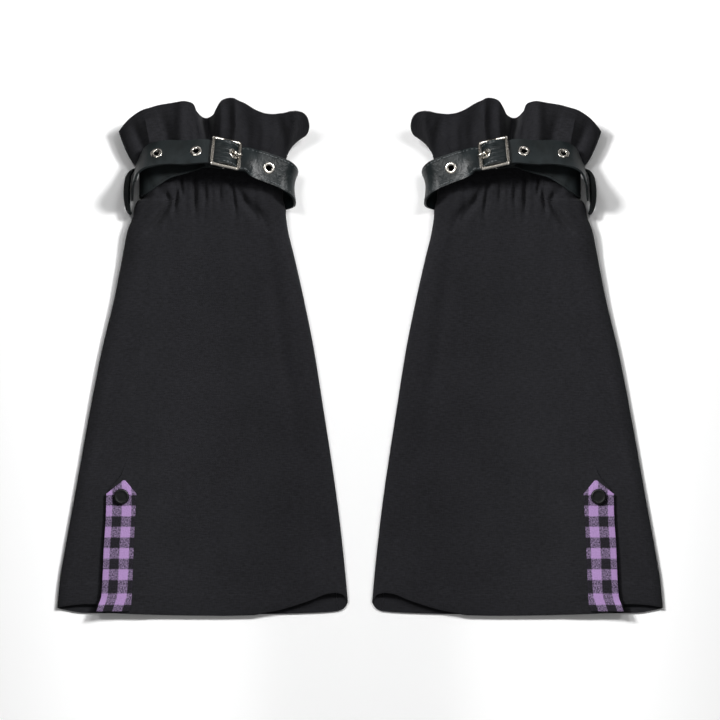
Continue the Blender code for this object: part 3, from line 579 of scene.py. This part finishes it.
def panelColumn(span, t):
    # v of each row, from the hem to the neck, then u and z there
    hemName = "side" if span in ("leftShoulder", "strip") else "back"
    if span in ("front", "rightShoulder"):
        hemName = "front"
    hem = float(hemCurve[hemName](tubeEdge(hems["level"], span, t)[0]))
    hemPart = np.arange(panels["hemRows"]) * panels["hemStep"]
    rest = np.linspace(panels["hemRows"] * panels["hemStep"], tube["neckStart"] - hem,
                       panels["rows"] - panels["hemRows"] + 1)
    above = np.concatenate([hemPart, rest])
    u, z = tubeEdge(hem + above, span, t)
    return u, hem + above, above, z


def makePanel(spans, lifted):
    steps = spanSteps(spans)
    columns = [panelColumn(*step) for step in steps]
    u, v, above = (np.stack([column[i] for column in columns], axis=1) for i in range(3))
    relief = bodyRelief(u, v) + hemRelief(above) - seamDip(u, v)
    z = topHeight(u, v, relief)
    if lifted:
        z += ventLift(u, v)
    under = creaseDepth(u, v, backCreases) + 0.8 * gathers(u, v)
    for k, (span, t) in enumerate(steps):
        if span in panels["upper"]:
            continue
        inner = 1.0 if span == "back" else 0.0
        fade = min(t, 1.0 - t) * 12
        z[:, k] = columns[k][3] + under[:, k] * inner * min(fade, 1.0)
    points = np.stack([u, v, z], axis=2)
    # u crosses zero in the first span, which is the wide one
    return sheetMesh(points, arcAcross(points, spans[0][1] + 1), v)


fronts = addCotton("front_panel", makePanel(panels["frontSpans"], True))
backs = addCotton("back_panel", makePanel(panels["backSpans"], False))
print("panels made")


# The neck casing and the ruffle.

ring = {
    "spans": (("leftShoulder", 20), ("top", 110), ("rightShoulder", 20),
              ("rightFold", 8), ("underside", 100), ("leftFold", 8)),
    "upper": ("leftShoulder", "top", "rightShoulder"),
    "casingRows": 20, "pleat": 0.9,
}
ringSteps = spanSteps(ring["spans"])
ringTop = sum(count for name, count in ring["spans"] if name in ring["upper"])


def ringOutline(v):
    # the tube's outline at v with its pleats drawn in, from its left edge over the top and back
    v = np.asarray(float(v))
    places = [tubeEdge(v, span, t) for span, t in ringSteps]
    u = np.array([float(place[0]) for place in places])
    z = topHeight(u, v, bodyRelief(u, v))
    under = ring["pleat"] * gathers(u, v)
    for k, (span, _) in enumerate(ringSteps):
        if span not in ring["upper"]:
            z[k] = places[k][1] + (under[k] if span == "underside" else 0.0)
    return np.stack([u, v + np.zeros(len(u)), z], axis=1)


casingLevels = np.linspace(tube["neckStart"], tube["neckEnd"], ring["casingRows"] + 1)
casingPoints = np.stack([ringOutline(v) for v in casingLevels])
casingFrom = (casingLevels - casingLevels[0]) / (casingLevels[-1] - casingLevels[0])
channel = np.exp(-((casingFrom - 0.62) / 0.05) ** 2) + np.exp(-((casingFrom - 0.92) / 0.05) ** 2)
casingPoints[:, :ringTop + 1, 2] -= channel[:, None] * 0.4
casingMesh = sheetMesh(casingPoints, arcAcross(casingPoints, 0), casingPoints[:, :, 1])
bmesh.ops.remove_doubles(casingMesh, verts=casingMesh.verts, dist=0.01)
casings = addCotton("neck_casing", casingMesh)

ruffle = {
    # the free edge along the front, from the left corner to the right, then back along the underside
    "front": (
        (-76.5, 189.2, 10.0), (-72.7, 194.3, 15.5), (-65.9, 201.0, 21.0), (-56.4, 206.9, 24.0),
        (-45.4, 210.2, 24.0), (-33.1, 212.5, 25.0), (-19.4, 214.1, 27.0), (-14.0, 212.3, 25.0),
        (-10.7, 205.8, 19.0), (-3.8, 200.6, 11.0), (2.4, 203.0, 17.0), (5.6, 208.6, 22.0),
        (9.7, 214.6, 26.0), (18.5, 216.9, 28.0), (27.8, 213.1, 27.0), (40.5, 206.0, 24.0),
        (50.4, 203.6, 22.0), (60.5, 204.2, 24.0), (70.0, 206.0, 27.0), (77.8, 204.6, 26.0),
        (82.5, 199.0, 22.0), (83.5, 191.7, 17.0), (80.6, 185.6, 12.0), (73.5, 182.3, 8.0)),
    "back": (
        (73.5, 182.3, 8.0), (66.0, 187.5, 4.0), (52.0, 193.0, 1.2), (34.0, 195.5, 3.0),
        (16.0, 194.0, 1.2), (-2.0, 193.0, 2.4), (-20.0, 195.0, 1.2), (-38.0, 196.0, 3.0),
        (-56.0, 193.5, 1.4), (-70.0, 190.0, 4.5), (-76.5, 189.2, 10.0)),
    "rows": 40, "depth": 48.0,
    "flareLeft": 0.5, "flareRight": 1.25, "flareLobe": 1.1, "lobe": (68.0, 82.0), "rise": 2.0,
    # folds in its upper side, as for the panels
    "folds": (
        (((-4, 214), (-1, 192), (1, 172), (2, 148)), 4.8, 10.4),
        (((-11, 216), (-9, 196), (-4, 176)), 2.4, -3.9),
        (((8, 222), (10, 200), (8, 172)), 2.8, -2.5),
        (((-66, 200), (-60, 184), (-50, 160)), 4.6, 6.9), (((-40, 206), (-37, 186), (-34, 154)), 5, 5.8),
        (((-54, 212), (-50, 190), (-42, 170)), 3.1, -3.9),
        (((-23, 222), (-24, 190), (-20, 152)), 4.6, -4.2),
        (((31, 208), (31, 186), (29, 154)), 5.4, 4.6), (((21, 222), (22, 192), (15, 154)), 3.1, -4.8),
        (((44, 208), (45, 186), (44, 158)), 3.6, -2.8), (((58, 202), (61, 184), (55, 148)), 4.2, 6.9),
        (((72, 216), (71, 196), (63, 168)), 2.4, -5.3), (((78, 206), (78, 194), (74, 182)), 2, 3)),
}


def lengthAlong(points):
    return np.concatenate([[0.0], np.cumsum(np.linalg.norm(np.diff(points, axis=0), axis=1))])


def spread(points, fractions):
    path = smoothPath(points, 1.0)
    length = lengthAlong(path)
    return np.stack([np.interp(fractions * length[-1], length, path[:, k]) for k in range(3)], axis=1)


def fractionsAlong(points):
    length = lengthAlong(points)
    return length / length[-1]


def makeRuffle():
    root = ringOutline(tube["neckEnd"])
    inFront = np.arange(len(root)) <= ringTop
    upper = spread(ruffle["front"], fractionsAlong(root[:ringTop + 1]))
    lower = spread(ruffle["back"], fractionsAlong(root[ringTop:]))
    edge = np.concatenate([upper, lower[1:]])
    r = np.linspace(0.0, 1.0, ruffle["rows"] + 1)[:, None]
    toRight = np.clip((root[:, 0] - root[0, 0]) / (root[ringTop, 0] - root[0, 0]), 0, 1)
    power = mix(ruffle["flareLeft"], ruffle["flareRight"], toRight)
    flare = r ** (power + ruffle["flareLobe"] * ease(edge[:, 0], *ruffle["lobe"]))
    rise = np.where(inFront, r ** ruffle["rise"], r)
    u = mix(root[:, 0], edge[:, 0], flare)
    v = mix(root[:, 1], edge[:, 1], r)
    z = mix(root[:, 2], edge[:, 2], rise)
    share = np.sin(np.pi * np.clip(np.arange(len(root)) / ringTop, 0, 1)) ** 0.4
    folded = creaseDepth(u, v, ruffle["folds"]) * ease(r, -0.05, 0.3) * share
    z -= np.where(inFront, folded, 0.0)
    waves = 0.6 + 0.6 * np.cos(math.tau * root[:, 0] / 19.0 + 0.8 * np.sin(root[:, 0] / 11.0))
    z += np.where(inFront, 0.0, waves * np.sin(np.pi * r) * 0.9)
    return np.stack(np.broadcast_arrays(u, v, z), axis=2)


rufflePoints = makeRuffle()
ruffleFrom = np.linspace(0.0, ruffle["depth"], ruffle["rows"] + 1)[:, None] + np.zeros(len(ringSteps))
ruffleMesh = sheetMesh(rufflePoints, arcAcross(rufflePoints, 0), ruffleFrom)
bmesh.ops.remove_doubles(ruffleMesh, verts=ruffleMesh.verts, dist=0.01)
ruffles = addCotton("ruffle", ruffleMesh)
print("casing and ruffle made")


# The checked tab and its button.

tab = {
    # v with the left and right edge there
    "rows": ((-213.4, -95.2, -67.4), (-208.0, -93.4, -66.2), (-200.0, -91.0, -65.5),
             (-160.0, -89.0, -64.0), (-124.3, -87.1, -62.2), (-114.9, -87.1, -61.6),
             (-103.3, -72.6, -71.2)),
    "columns": 20, "fine": 84, "tipRows": 10, "curl": 2.2, "curlRun": 14.0,
    "slack": 3.1, "slackEnds": ((10.0, 28.0), (98.0, 110.0)),  # the cloth is drawn up at its two ends
}
button = {"centre": (-74.3, -117.2), "steps": 48,
          "profile": ((0.0, 0.0), (5.6, 0.0), (6.3, 0.3), (6.6, 0.9), (6.6, 1.5), (6.35, 2.1), (5.8, 2.5),
                      (5.2, 2.6), (4.7, 2.48), (4.2, 2.3), (2.6, 2.38), (0.0, 2.45))}


def frontHeight(u, v):
    return topHeight(u, v, bodyRelief(u, v) + hemRelief(v - hemCurve["front"](u))) + ventLift(u, v)


def makeTab():
    left = smoothCurve([(row[0], row[1]) for row in tab["rows"][:-1]])
    right = smoothCurve([(row[0], row[2]) for row in tab["rows"][:-1]])
    bottom, shoulder, tip = tab["rows"][0], tab["rows"][-2], tab["rows"][-1]
    straight = np.linspace(bottom[0], shoulder[0], tab["fine"] - tab["tipRows"] + 1)
    levels = np.concatenate([straight, np.linspace(shoulder[0], tip[0], tab["tipRows"] + 1)[1:]])
    point = np.clip((levels - shoulder[0]) / (tip[0] - shoulder[0]), 0.0, 1.0)
    low = mix(left(levels), tip[1], point)
    high = mix(right(levels), tip[2], point)
    t = np.linspace(0.0, 1.0, tab["columns"] + 1)
    u = low[:, None] + (high - low)[:, None] * t
    v = levels[:, None] + np.zeros(len(t))
    corner = np.hypot(u - bottom[1], v - bottom[0])
    curl = tab["curl"] * (1.0 - ease(corner, 0.0, tab["curlRun"]))
    edge = np.minimum(u - low[:, None], high[:, None] - u)
    roll = 0.35 * (1.0 - np.exp(-edge / 0.8)) - 0.25 * np.exp(-((edge - 2.2) / 0.7) ** 2)
    dent = 0.7 * np.exp(-(np.hypot(u - button["centre"][0], v - button["centre"][1]) / 8.0) ** 2)
    z = frontHeight(u, v) + pair["gap"] + pair["cloth"] - 0.35 + roll + curl - 0.3 * dent
    across = u - left(levels)[:, None]
    along = v - bottom[0]
    low, high = tab["slackEnds"]
    along = along + tab["slack"] * (1.0 - ease(along, *low)) - tab["slack"] * ease(along, *high)
    return sheetMesh(np.stack([u, v, z], axis=2), across, along)


tabs = addPiece("tab_cloth", makeTab(), "gingham", ["tab"], wall=pair["cloth"])

buttonMesh = lathe(button["profile"], button["steps"])
seat = float(frontHeight(np.array(button["centre"][0]), np.array(button["centre"][1])))
bmesh.ops.translate(buttonMesh, vec=(*button["centre"], seat + pair["cloth"] + 2 * pair["gap"] - 0.3),
                    verts=buttonMesh.verts)
addPiece("button_disc", buttonMesh, "button", ["button"])
print("tab and button made")


# The belt.

belt = {
    "width": 24.5, "thick": 1.8, "step": 1.6, "across": 14,
    "tip": 16.0, "tipWidth": 6.0,
    "eyelets": (-35.6, 0.0, 30.8, 64.9),  # from the one on the prong, towards the tip
    "punch": 3.4,
    "stitchInset": 1.9, "stitchPitch": 2.6, "stitch": (2.3, 0.6),
    "stitchesEnd": 112.0,  # the free end is plain over this length
    "stitchesFrom": 8.0, "shadedThreadEnd": 240.0,  # painted shade and highlight: black thread on the inner run before this many mm, then grey thread whose lightness paints the highlight along the outer part's edges
    # its stations away from the buckle: u, v, z, then how far its width leans down in degrees, and
    # how far it sways towards the right
    "round": ((-9, 168.6, 25.0, 25, 0), (-22, 165.6, 24.2, 9, 0), (-38, 161, 22.8, 2, 0),
              (-50.4, 152.9, 19.6, 0, 0),
              (-57.2, 146.8, 13.4, 0, 0), (-58.3, 145.6, 7.4, 0, 0), (-56.6, 144.8, 2.0, 0, 0),
              (-51.6, 144.2, 0.9, 0, 0), (-44, 143.2, 0.9, 0, 0), (0, 139.4, 0.9, 0, 0),
              (50, 136, 0.9, 0, 0),
              (56.5, 135.6, 0.9, 0, 0), (63.2, 136, 1.8, 0, 0), (68.2, 137.8, 6.4, 0, 0),
              (70.2, 141.4, 12.2, 0, 0), (68.6, 147.4, 17.8, 0, 0), (63.8, 152.2, 21.8, 1, 0),
              (56.8, 155.6, 23.8, 3, 0), (46.6, 159.2, 25.4, 9, 0), (38.2, 162.3, 26.2, 17, 0)),
    "freeEnd": ((-5.5, 172.2, 32.1, 36, 0), (-20, 171.1, 31.4, 35, 0), (-37, 171.2, 30.0, 35, 1),
                (-45.6, 169.8, 29.6, 36, 6), (-53, 166.4, 28.6, 36, 13), (-58.2, 161.4, 26.2, 36, 16),
                (-62.2, 153.6, 22.0, 26, 11), (-63.9, 145.0, 15.6, 12, 6), (-64.6, 139.8, 9.8, 4, 4),
                (-64.9, 138.4, 5.4, 0, 3), (-65, 138, 1.4, 0, 3)),
}
buckle = {
    "centre": Vector((13.4, 169.7, 30.5)), "along": Vector((0.961, -0.216, -0.170)), "lean": 36.0,
    "width": 26.2, "height": 30.2, "bar": 2.2, "frameOut": 1.8, "corner": 3.0,
    "barOut": -1.2, "barRadius": 1.1, "prongRadius": 0.7,
    # (along, out): the turned-back end and the fold round the centre bar, then the free end's way through
    "fold": ((-16, -4.1), (-12, -3.9), (-8, -1.9), (-4, 0.5), (0, 1.3), (1.77, 0.57),
             (2.5, -1.2), (1.77, -2.97), (0, -3.7), (-5, -5), (-12, -6.2)),
    "threaded": ((18, -0.3), (15, -1.2), (12, -1.5), (8.8, 0.6), (5.8, 2.5), (2.8, 3.6),
                 (0, 3.8), (-4, 3), (-8, 1), (-12, -1.5), (-15.8, -1.8)),
    "prongRow": 4,
    "prong": ((3.6, -1.8), (4.8, -0.3), (5.7, 1.4), (6.5, 2.9), (7.7, 4.0), (9.6, 4.4), (12.0, 4.2),
              (13.8, 3.6)),
}


def buckleAxes():
    along = buckle["along"].normalized()
    lean = math.radians(buckle["lean"])
    across = Vector((0.0, math.cos(lean), -math.sin(lean)))
    across = (across - across.dot(along) * along).normalized()
    return along, across, along.cross(across)


def atBuckle(along, out):
    direction, _, outward = buckleAxes()
    return buckle["centre"] + along * direction + out * outward


def beltStations():
    # middle, direction and width direction, from the turned-back end to the tip
    across = buckleAxes()[1]

    def leaning(rows):
        return [(u, v, z, math.tan(math.radians(sway)), math.cos(math.radians(lean)),
                 -math.sin(math.radians(lean))) for u, v, z, lean, sway in rows]

    rows = [(*atBuckle(*row), *across) for row in buckle["fold"]]
    rows += leaning(belt["round"])
    rows += [(*atBuckle(*row), *across) for row in buckle["threaded"]]
    rows += leaning(belt["freeEnd"])
    path = smoothPath(rows, belt["step"])
    stations = []
    for i, row in enumerate(path):
        before, after = path[max(i - 1, 0)][:3], path[min(i + 1, len(path) - 1)][:3]
        tangent = Vector(after - before).normalized()
        width = Vector(row[3:])
        width = (width - width.dot(tangent) * tangent).normalized()
        stations.append((Vector(row[:3]), tangent, width))
    return stations


stations = beltStations()
beltSteps = [(b[0] - a[0]).length for a, b in zip(stations, stations[1:])]
beltAlong = np.concatenate([[0.0], np.cumsum(beltSteps)])


def eyeletFrames():
    target = atBuckle(*buckle["threaded"][buckle["prongRow"]])
    later = [i for i in range(len(stations)) if beltAlong[i] > beltAlong[-1] / 2]
    nearest = min(later, key=lambda i: (stations[i][0] - target).length)
    frames = []
    for distance in belt["eyelets"]:
        wanted = beltAlong[nearest] + distance
        i = int(np.searchsorted(beltAlong, wanted))
        place, tangent, width = stations[i]
        frames.append((place, width.cross(tangent).normalized(), width))
    return frames


def facing(place, normal, width):
    y = (width - width.dot(normal) * normal).normalized()
    return Matrix.Translation(place) @ Matrix((y.cross(normal), y, normal)).transposed().to_4x4()


def halfWidth(leftOver):
    taper = min(leftOver / belt["tip"], 1.0)
    return mix(belt["tipWidth"], belt["width"], math.sin(taper * math.pi / 2)) / 2


def beltPoint(i, s):
    # on the belt's middle surface at station i, s from -1 to 1 across it
    place, _, width = stations[i]
    point = place + width * halfWidth(beltAlong[-1] - beltAlong[i]) * s
    point.z = max(point.z, belt["thick"] / 2)
    return point


def makeBelt():
    sides = np.linspace(-1.0, 1.0, belt["across"] + 1)
    points = np.array([[beltPoint(i, s) for i in range(len(stations))] for s in sides])
    along = np.array([beltAlong for _ in sides])
    across = sides[:, None] * belt["width"] / 2 + np.zeros(len(stations))
    mesh = sheetMesh(points, along, across)
    punched = []
    for place, normal, _ in eyeletFrames():
        for face in mesh.faces:
            away = face.calc_center_median() - place
            if abs(away.dot(normal)) < 2.0 and (away - away.dot(normal) * normal).length < belt["punch"]:
                punched.append(face)
    bmesh.ops.delete(mesh, geom=list(set(punched)), context="FACES")
    return mesh


beltMesh = makeBelt()
addPiece("strap_leather", beltMesh, "leather", ["strap"], wall=belt["thick"],
         wallOffset=0.0, bevel=0.6)

plain = beltAlong[-1] - belt["stitchesEnd"]
# the inner run's stitches get black thread as painted shade, the outer part's grey thread as a painted
# highlight
for name, thread, start, end in (("shaded_inner_stitches", "thread", belt["stitchesFrom"], belt["shadedThreadEnd"]),
                                 ("highlight_strap_stitches", "paintedHighlightThread", belt["shadedThreadEnd"], plain)):
    beltStitches = bmesh.new()
    for edge in (-1, 1):
        places = []
        for distance in np.arange(start, end, belt["stitchPitch"]):
            place, tangent, width = stations[int(np.searchsorted(beltAlong, distance))]
            outward = width.cross(tangent).normalized()
            if outward.z > -0.2:
                middle = place + width * edge * (belt["width"] / 2 - belt["stitchInset"])
                places.append((middle + outward * (belt["thick"] / 2 + 0.02), tangent, outward))
        addStitches(beltStitches, places, *belt["stitch"])
    addPiece(name, beltStitches, thread)

eyelet = {"hole": 2.4, "barrel": 2.8, "rim": 5.0, "clear": 0.4, "crown": 0.75, "steps": 40}


def makeEyelet():
    half = belt["thick"] / 2 + eyelet["clear"] - 0.3
    middle, reach = (eyelet["hole"] + eyelet["rim"]) / 2, (eyelet["rim"] - eyelet["hole"]) / 2
    dome = [(middle + reach * math.cos(a), half + eyelet["crown"] * math.sin(a) ** 0.8)
            for a in np.linspace(0.0, math.pi, 12)[1:-1]]
    return lathe([(eyelet["hole"], -half), (eyelet["barrel"], -half), (eyelet["barrel"], half),
                  (eyelet["rim"], half), *dome, (eyelet["hole"], half)], eyelet["steps"])


for number, place in enumerate(eyeletFrames(), 1):
    eyeletMesh = makeEyelet()
    bmesh.ops.transform(eyeletMesh, matrix=facing(*place), verts=eyeletMesh.verts)
    addPiece(f"eyelet_{number}_ring", eyeletMesh, "nickel", [f"eyelet_{number}"])
print("belt and eyelets made")


def roundedRing(mesh, width, height, corner, out, steps=64):
    # a closed loop of edges on a rounded rectangle
    made = bmesh.ops.create_circle(mesh, segments=steps, radius=1.0)["verts"]
    for vert in made:
        angle = math.atan2(vert.co.y, vert.co.x)
        quarter = math.floor(angle / (math.pi / 2)) % 4
        within = angle - (angle // (math.pi / 2)) * (math.pi / 2)
        signs = ((1, 1), (-1, 1), (-1, -1), (1, -1))[quarter]
        centre = signs[0] * (width / 2 - corner), signs[1] * (height / 2 - corner)
        turned = quarter * math.pi / 2 + within
        vert.co = (centre[0] + corner * math.cos(turned), centre[1] + corner * math.sin(turned), out)
    return [e for e in mesh.edges if e.verts[0] in made and e.verts[1] in made]


def makeBuckleFrame():
    # the bar's section as (inset from the outer edge, height): rounded, with a groove along its top
    bar, half = buckle["bar"] + 0.5, buckle["bar"] / 2
    profile = ((0.0, -half * 0.5), (0.0, half * 0.45), (0.25 * bar, half * 0.95), (0.36 * bar, half),
               (0.5 * bar, half * 0.6), (0.64 * bar, half), (0.75 * bar, half * 0.95), (bar, half * 0.45),
               (bar, -half * 0.5), (0.75 * bar, -half), (0.25 * bar, -half))
    mesh = bmesh.new()
    rings = []
    for inset, height in profile:
        rings.append(roundedRing(mesh, buckle["width"] - 2 * inset, buckle["height"] - 2 * inset,
                                 buckle["corner"] - inset * 0.7, buckle["frameOut"] + height))
    for first, second in zip(rings, rings[1:] + rings[:1]):
        bmesh.ops.bridge_loops(mesh, edges=first + second)
    bmesh.ops.recalc_face_normals(mesh, faces=mesh.faces)
    return mesh


def sweptWire(points, radii, sides=12):
    # a round wire through points, closed at both ends
    mesh = bmesh.new()
    rings = []
    for i, (point, radius) in enumerate(zip(points, radii)):
        tangent = (points[min(i + 1, len(points) - 1)] - points[max(i - 1, 0)]).normalized()
        turn = Vector((0, 1, 0)).cross(tangent)
        axes = Matrix((turn.normalized(), tangent.cross(turn).normalized(), tangent))
        frameAt = axes.transposed().to_4x4()
        made = bmesh.ops.create_circle(mesh, segments=sides, radius=radius,
                                       matrix=Matrix.Translation(point) @ frameAt)["verts"]
        rings.append([e for e in mesh.edges if e.verts[0] in made and e.verts[1] in made])
    for first, second in zip(rings, rings[1:]):
        bmesh.ops.bridge_loops(mesh, edges=first + second)
    for end in (rings[0], rings[-1]):
        bmesh.ops.edgeloop_fill(mesh, edges=end)
    bmesh.ops.recalc_face_normals(mesh, faces=mesh.faces)
    return mesh


buckleMatrix = Matrix.Translation(buckle["centre"]) @ Matrix(buckleAxes()).transposed().to_4x4()
frameMesh = makeBuckleFrame()
reach = (buckle["height"] - buckle["bar"]) / 2 - 0.5
barMesh = bmesh.new()


def addRod(length, matrix):
    bmesh.ops.create_cone(barMesh, cap_ends=True, segments=16, radius1=buckle["barRadius"],
                          radius2=buckle["barRadius"], depth=length, matrix=matrix)


addRod(2 * reach, Matrix.Translation((0, 0, buckle["barOut"])) @ Matrix.Rotation(math.pi / 2, 4, "X"))
for end in (-1, 1):
    addRod(buckle["frameOut"] - buckle["barOut"] + 0.6,
           Matrix.Translation((0, end * reach, (buckle["frameOut"] + buckle["barOut"]) / 2)))
for mesh in (frameMesh, barMesh):
    bmesh.ops.transform(mesh, matrix=buckleMatrix, verts=mesh.verts)
addPiece("buckle_frame_bars", frameMesh, "nickel", ["buckle_frame"], sharp=35)
addPiece("buckle_centre_bar", barMesh, "nickel", sharp=35)

turn = buckle["barRadius"] + pair["gap"] + buckle["prongRadius"]
prongRows = [(turn * math.cos(math.radians(a)), 0.0, buckle["barOut"] + turn * math.sin(math.radians(a)))
             for a in range(200, 330, 15)]
prongRows += [(along, 0.0, out) for along, out in buckle["prong"]]
prongPath = [Vector(row) for row in smoothPath(prongRows, 1.0)]
prongRadii = [buckle["prongRadius"] * mix(1.25, 0.9, i / len(prongPath)) for i in range(len(prongPath))]
prongRadii[-1] *= 0.5
prongMesh = sweptWire(prongPath, prongRadii)
bmesh.ops.transform(prongMesh, matrix=buckleMatrix, verts=prongMesh.verts)
addPiece("buckle_prong_pin", prongMesh, "nickel", ["buckle_prong"])

loop = {
    # u, v and the height of its upper edge
    "run": ((-62.4, 158.0, 4.2), (-66.5, 155.9, 4.8), (-69.4, 152.4, 8.0), (-70.9, 147.4, 10.8),
            (-71.7, 140.5, 11.2), (-71.7, 134.0, 11.0), (-70.8, 127.6, 10.8), (-69.4, 123.0, 10.2),
            (-67.8, 120.8, 9.4), (-66.0, 120.0, 8.4)),
    "bottom": 2.0, "lean": 4.2, "rows": 6,
}
loopPath = smoothPath([(u, v, 0.0, top) for u, v, top in loop["run"]], 1.2)
inward = np.sin(np.pi * np.linspace(0.0, 1.0, len(loopPath))) ** 0.6 * loop["lean"]
heights = np.linspace(0.0, 1.0, loop["rows"] + 1)
loopPoints = np.array([[(p[0] + lean * h ** 1.5, p[1], mix(loop["bottom"], p[3], h))
                        for p, lean in zip(loopPath, inward)] for h in heights])
loopMesh = sheetMesh(loopPoints, arcAcross(loopPoints, 0), loopPoints[:, :, 2])
# the loop wears the darker copy of the belt's leather, its colour painted shade
addPiece("belt_loop_leather", loopMesh, "paintedShadeLoopLeather", ["belt_loop"], wall=belt["thick"],
         wallOffset=0.0, bevel=0.4)
print("buckle and loop made")


# Stitches on the cloth.

sewing = {"hemPitch": 3.4, "hemStitch": (2.4, 0.42)}


def frontSpot(u, v):
    return Vector((u, v, float(frontHeight(np.array(u), np.array(v)))))


hemStitches = bmesh.new()
places = []
for u in np.arange(-58.0, 106.0, sewing["hemPitch"]):
    v = float(hemCurve["front"](u)) + tube["hemWidth"] - 0.6
    ahead = float(hemCurve["front"](u + 1.0)) - float(hemCurve["front"](u))
    places.append((frontSpot(u, v) + Vector((0, 0, 0.02)), (1.0, ahead, 0.0), (0, 0, 1)))
addStitches(hemStitches, places, *sewing["hemStitch"])
addPiece("hem_stitches", hemStitches, "thread")
print("stitches made")


# Floor, lights and camera.

studio = {
    "floor": "#ffffff", "floorSize": 4.0, "floorDrop": -0.0004, "world": 0.37,
    # place in metres, size in metres, power in watts, one on each side
    "lamps": (("window", (1.7, 1.4, 1.95), 0.6, 100.0), ("panel", (0.95, 1.5, 2.2), 0.5, 17.0)),
    "flagPlace": 0.4, "flagShift": 0.2, "flagHeight": 0.5, "flagLength": 2.4,
    "cameraHeight": 10.0, "viewWidth": 0.6048, "viewCentre": (0.0, -0.0025),
}


def addBoard(name, paint, size, matrix, place=(0.0, 0.0, 0.0), seen=True):
    mesh = bmesh.new()
    bmesh.ops.create_grid(mesh, x_segments=1, y_segments=1, size=size, matrix=matrix)
    data = bpy.data.meshes.new(name)
    mesh.to_mesh(data)
    mesh.free()
    data.materials.append(paint)
    board = bpy.data.objects.new(name, data)
    board.location = place
    board.visible_camera = seen
    scene.collection.objects.link(board)


# painted studio board, rolled matte: an even pale surface
floorPaint = Finish("matte_board", {"Base Color": linear(studio["floor"]), "Roughness": 0.9,
                                    "Specular IOR Level": 0.2}).material
addBoard("floor", floorPaint, studio["floorSize"], Matrix.Translation((0, 0, studio["floorDrop"])))

# black card flags past the picture's sides: each leg warmer is lit more from the other's side
flagCard = Finish("black_card", {"Base Color": linear("#101010"), "Roughness": 0.9}).material
upright = Matrix.Rotation(math.radians(90), 4, "Y")
flagSize = Matrix.Diagonal((studio["flagHeight"], studio["flagLength"], 1.0, 1.0))
for side in (-1, 1):
    addBoard("flag", flagCard, 0.5, upright @ flagSize,
             (side * studio["flagPlace"], studio["flagShift"], studio["flagHeight"] / 2), False)

world = scene.world or bpy.data.worlds.new("studio")
scene.world = world
world.use_nodes = True
sky = world.node_tree.nodes["Background"].inputs
sky["Color"].default_value = (1.0, 1.0, 1.0, 1.0)
sky["Strength"].default_value = studio["world"]
for name, place, size, power in studio["lamps"]:
    for side in (-1, 1):
        lamp = bpy.data.lights.new(name, "AREA")
        lamp.shape = "DISK"
        lamp.size = size
        lamp.energy = power
        holder = bpy.data.objects.new(name, lamp)
        holder.location = (side * place[0], place[1], place[2])
        holder.rotation_euler = (-holder.location).to_track_quat("-Z", "Y").to_euler()
        holder.visible_camera = False
        scene.collection.objects.link(holder)
scene.view_settings.view_transform = "Standard"

lens = bpy.data.cameras.new("camera")
lens.sensor_width = 36.0
lens.lens = 36.0 * studio["cameraHeight"] / studio["viewWidth"]
lens.clip_end = 50.0
camera = bpy.data.objects.new("camera", lens)
camera.location = (*studio["viewCentre"], studio["cameraHeight"])
scene.collection.objects.link(camera)
scene.camera = camera
print("studio made")
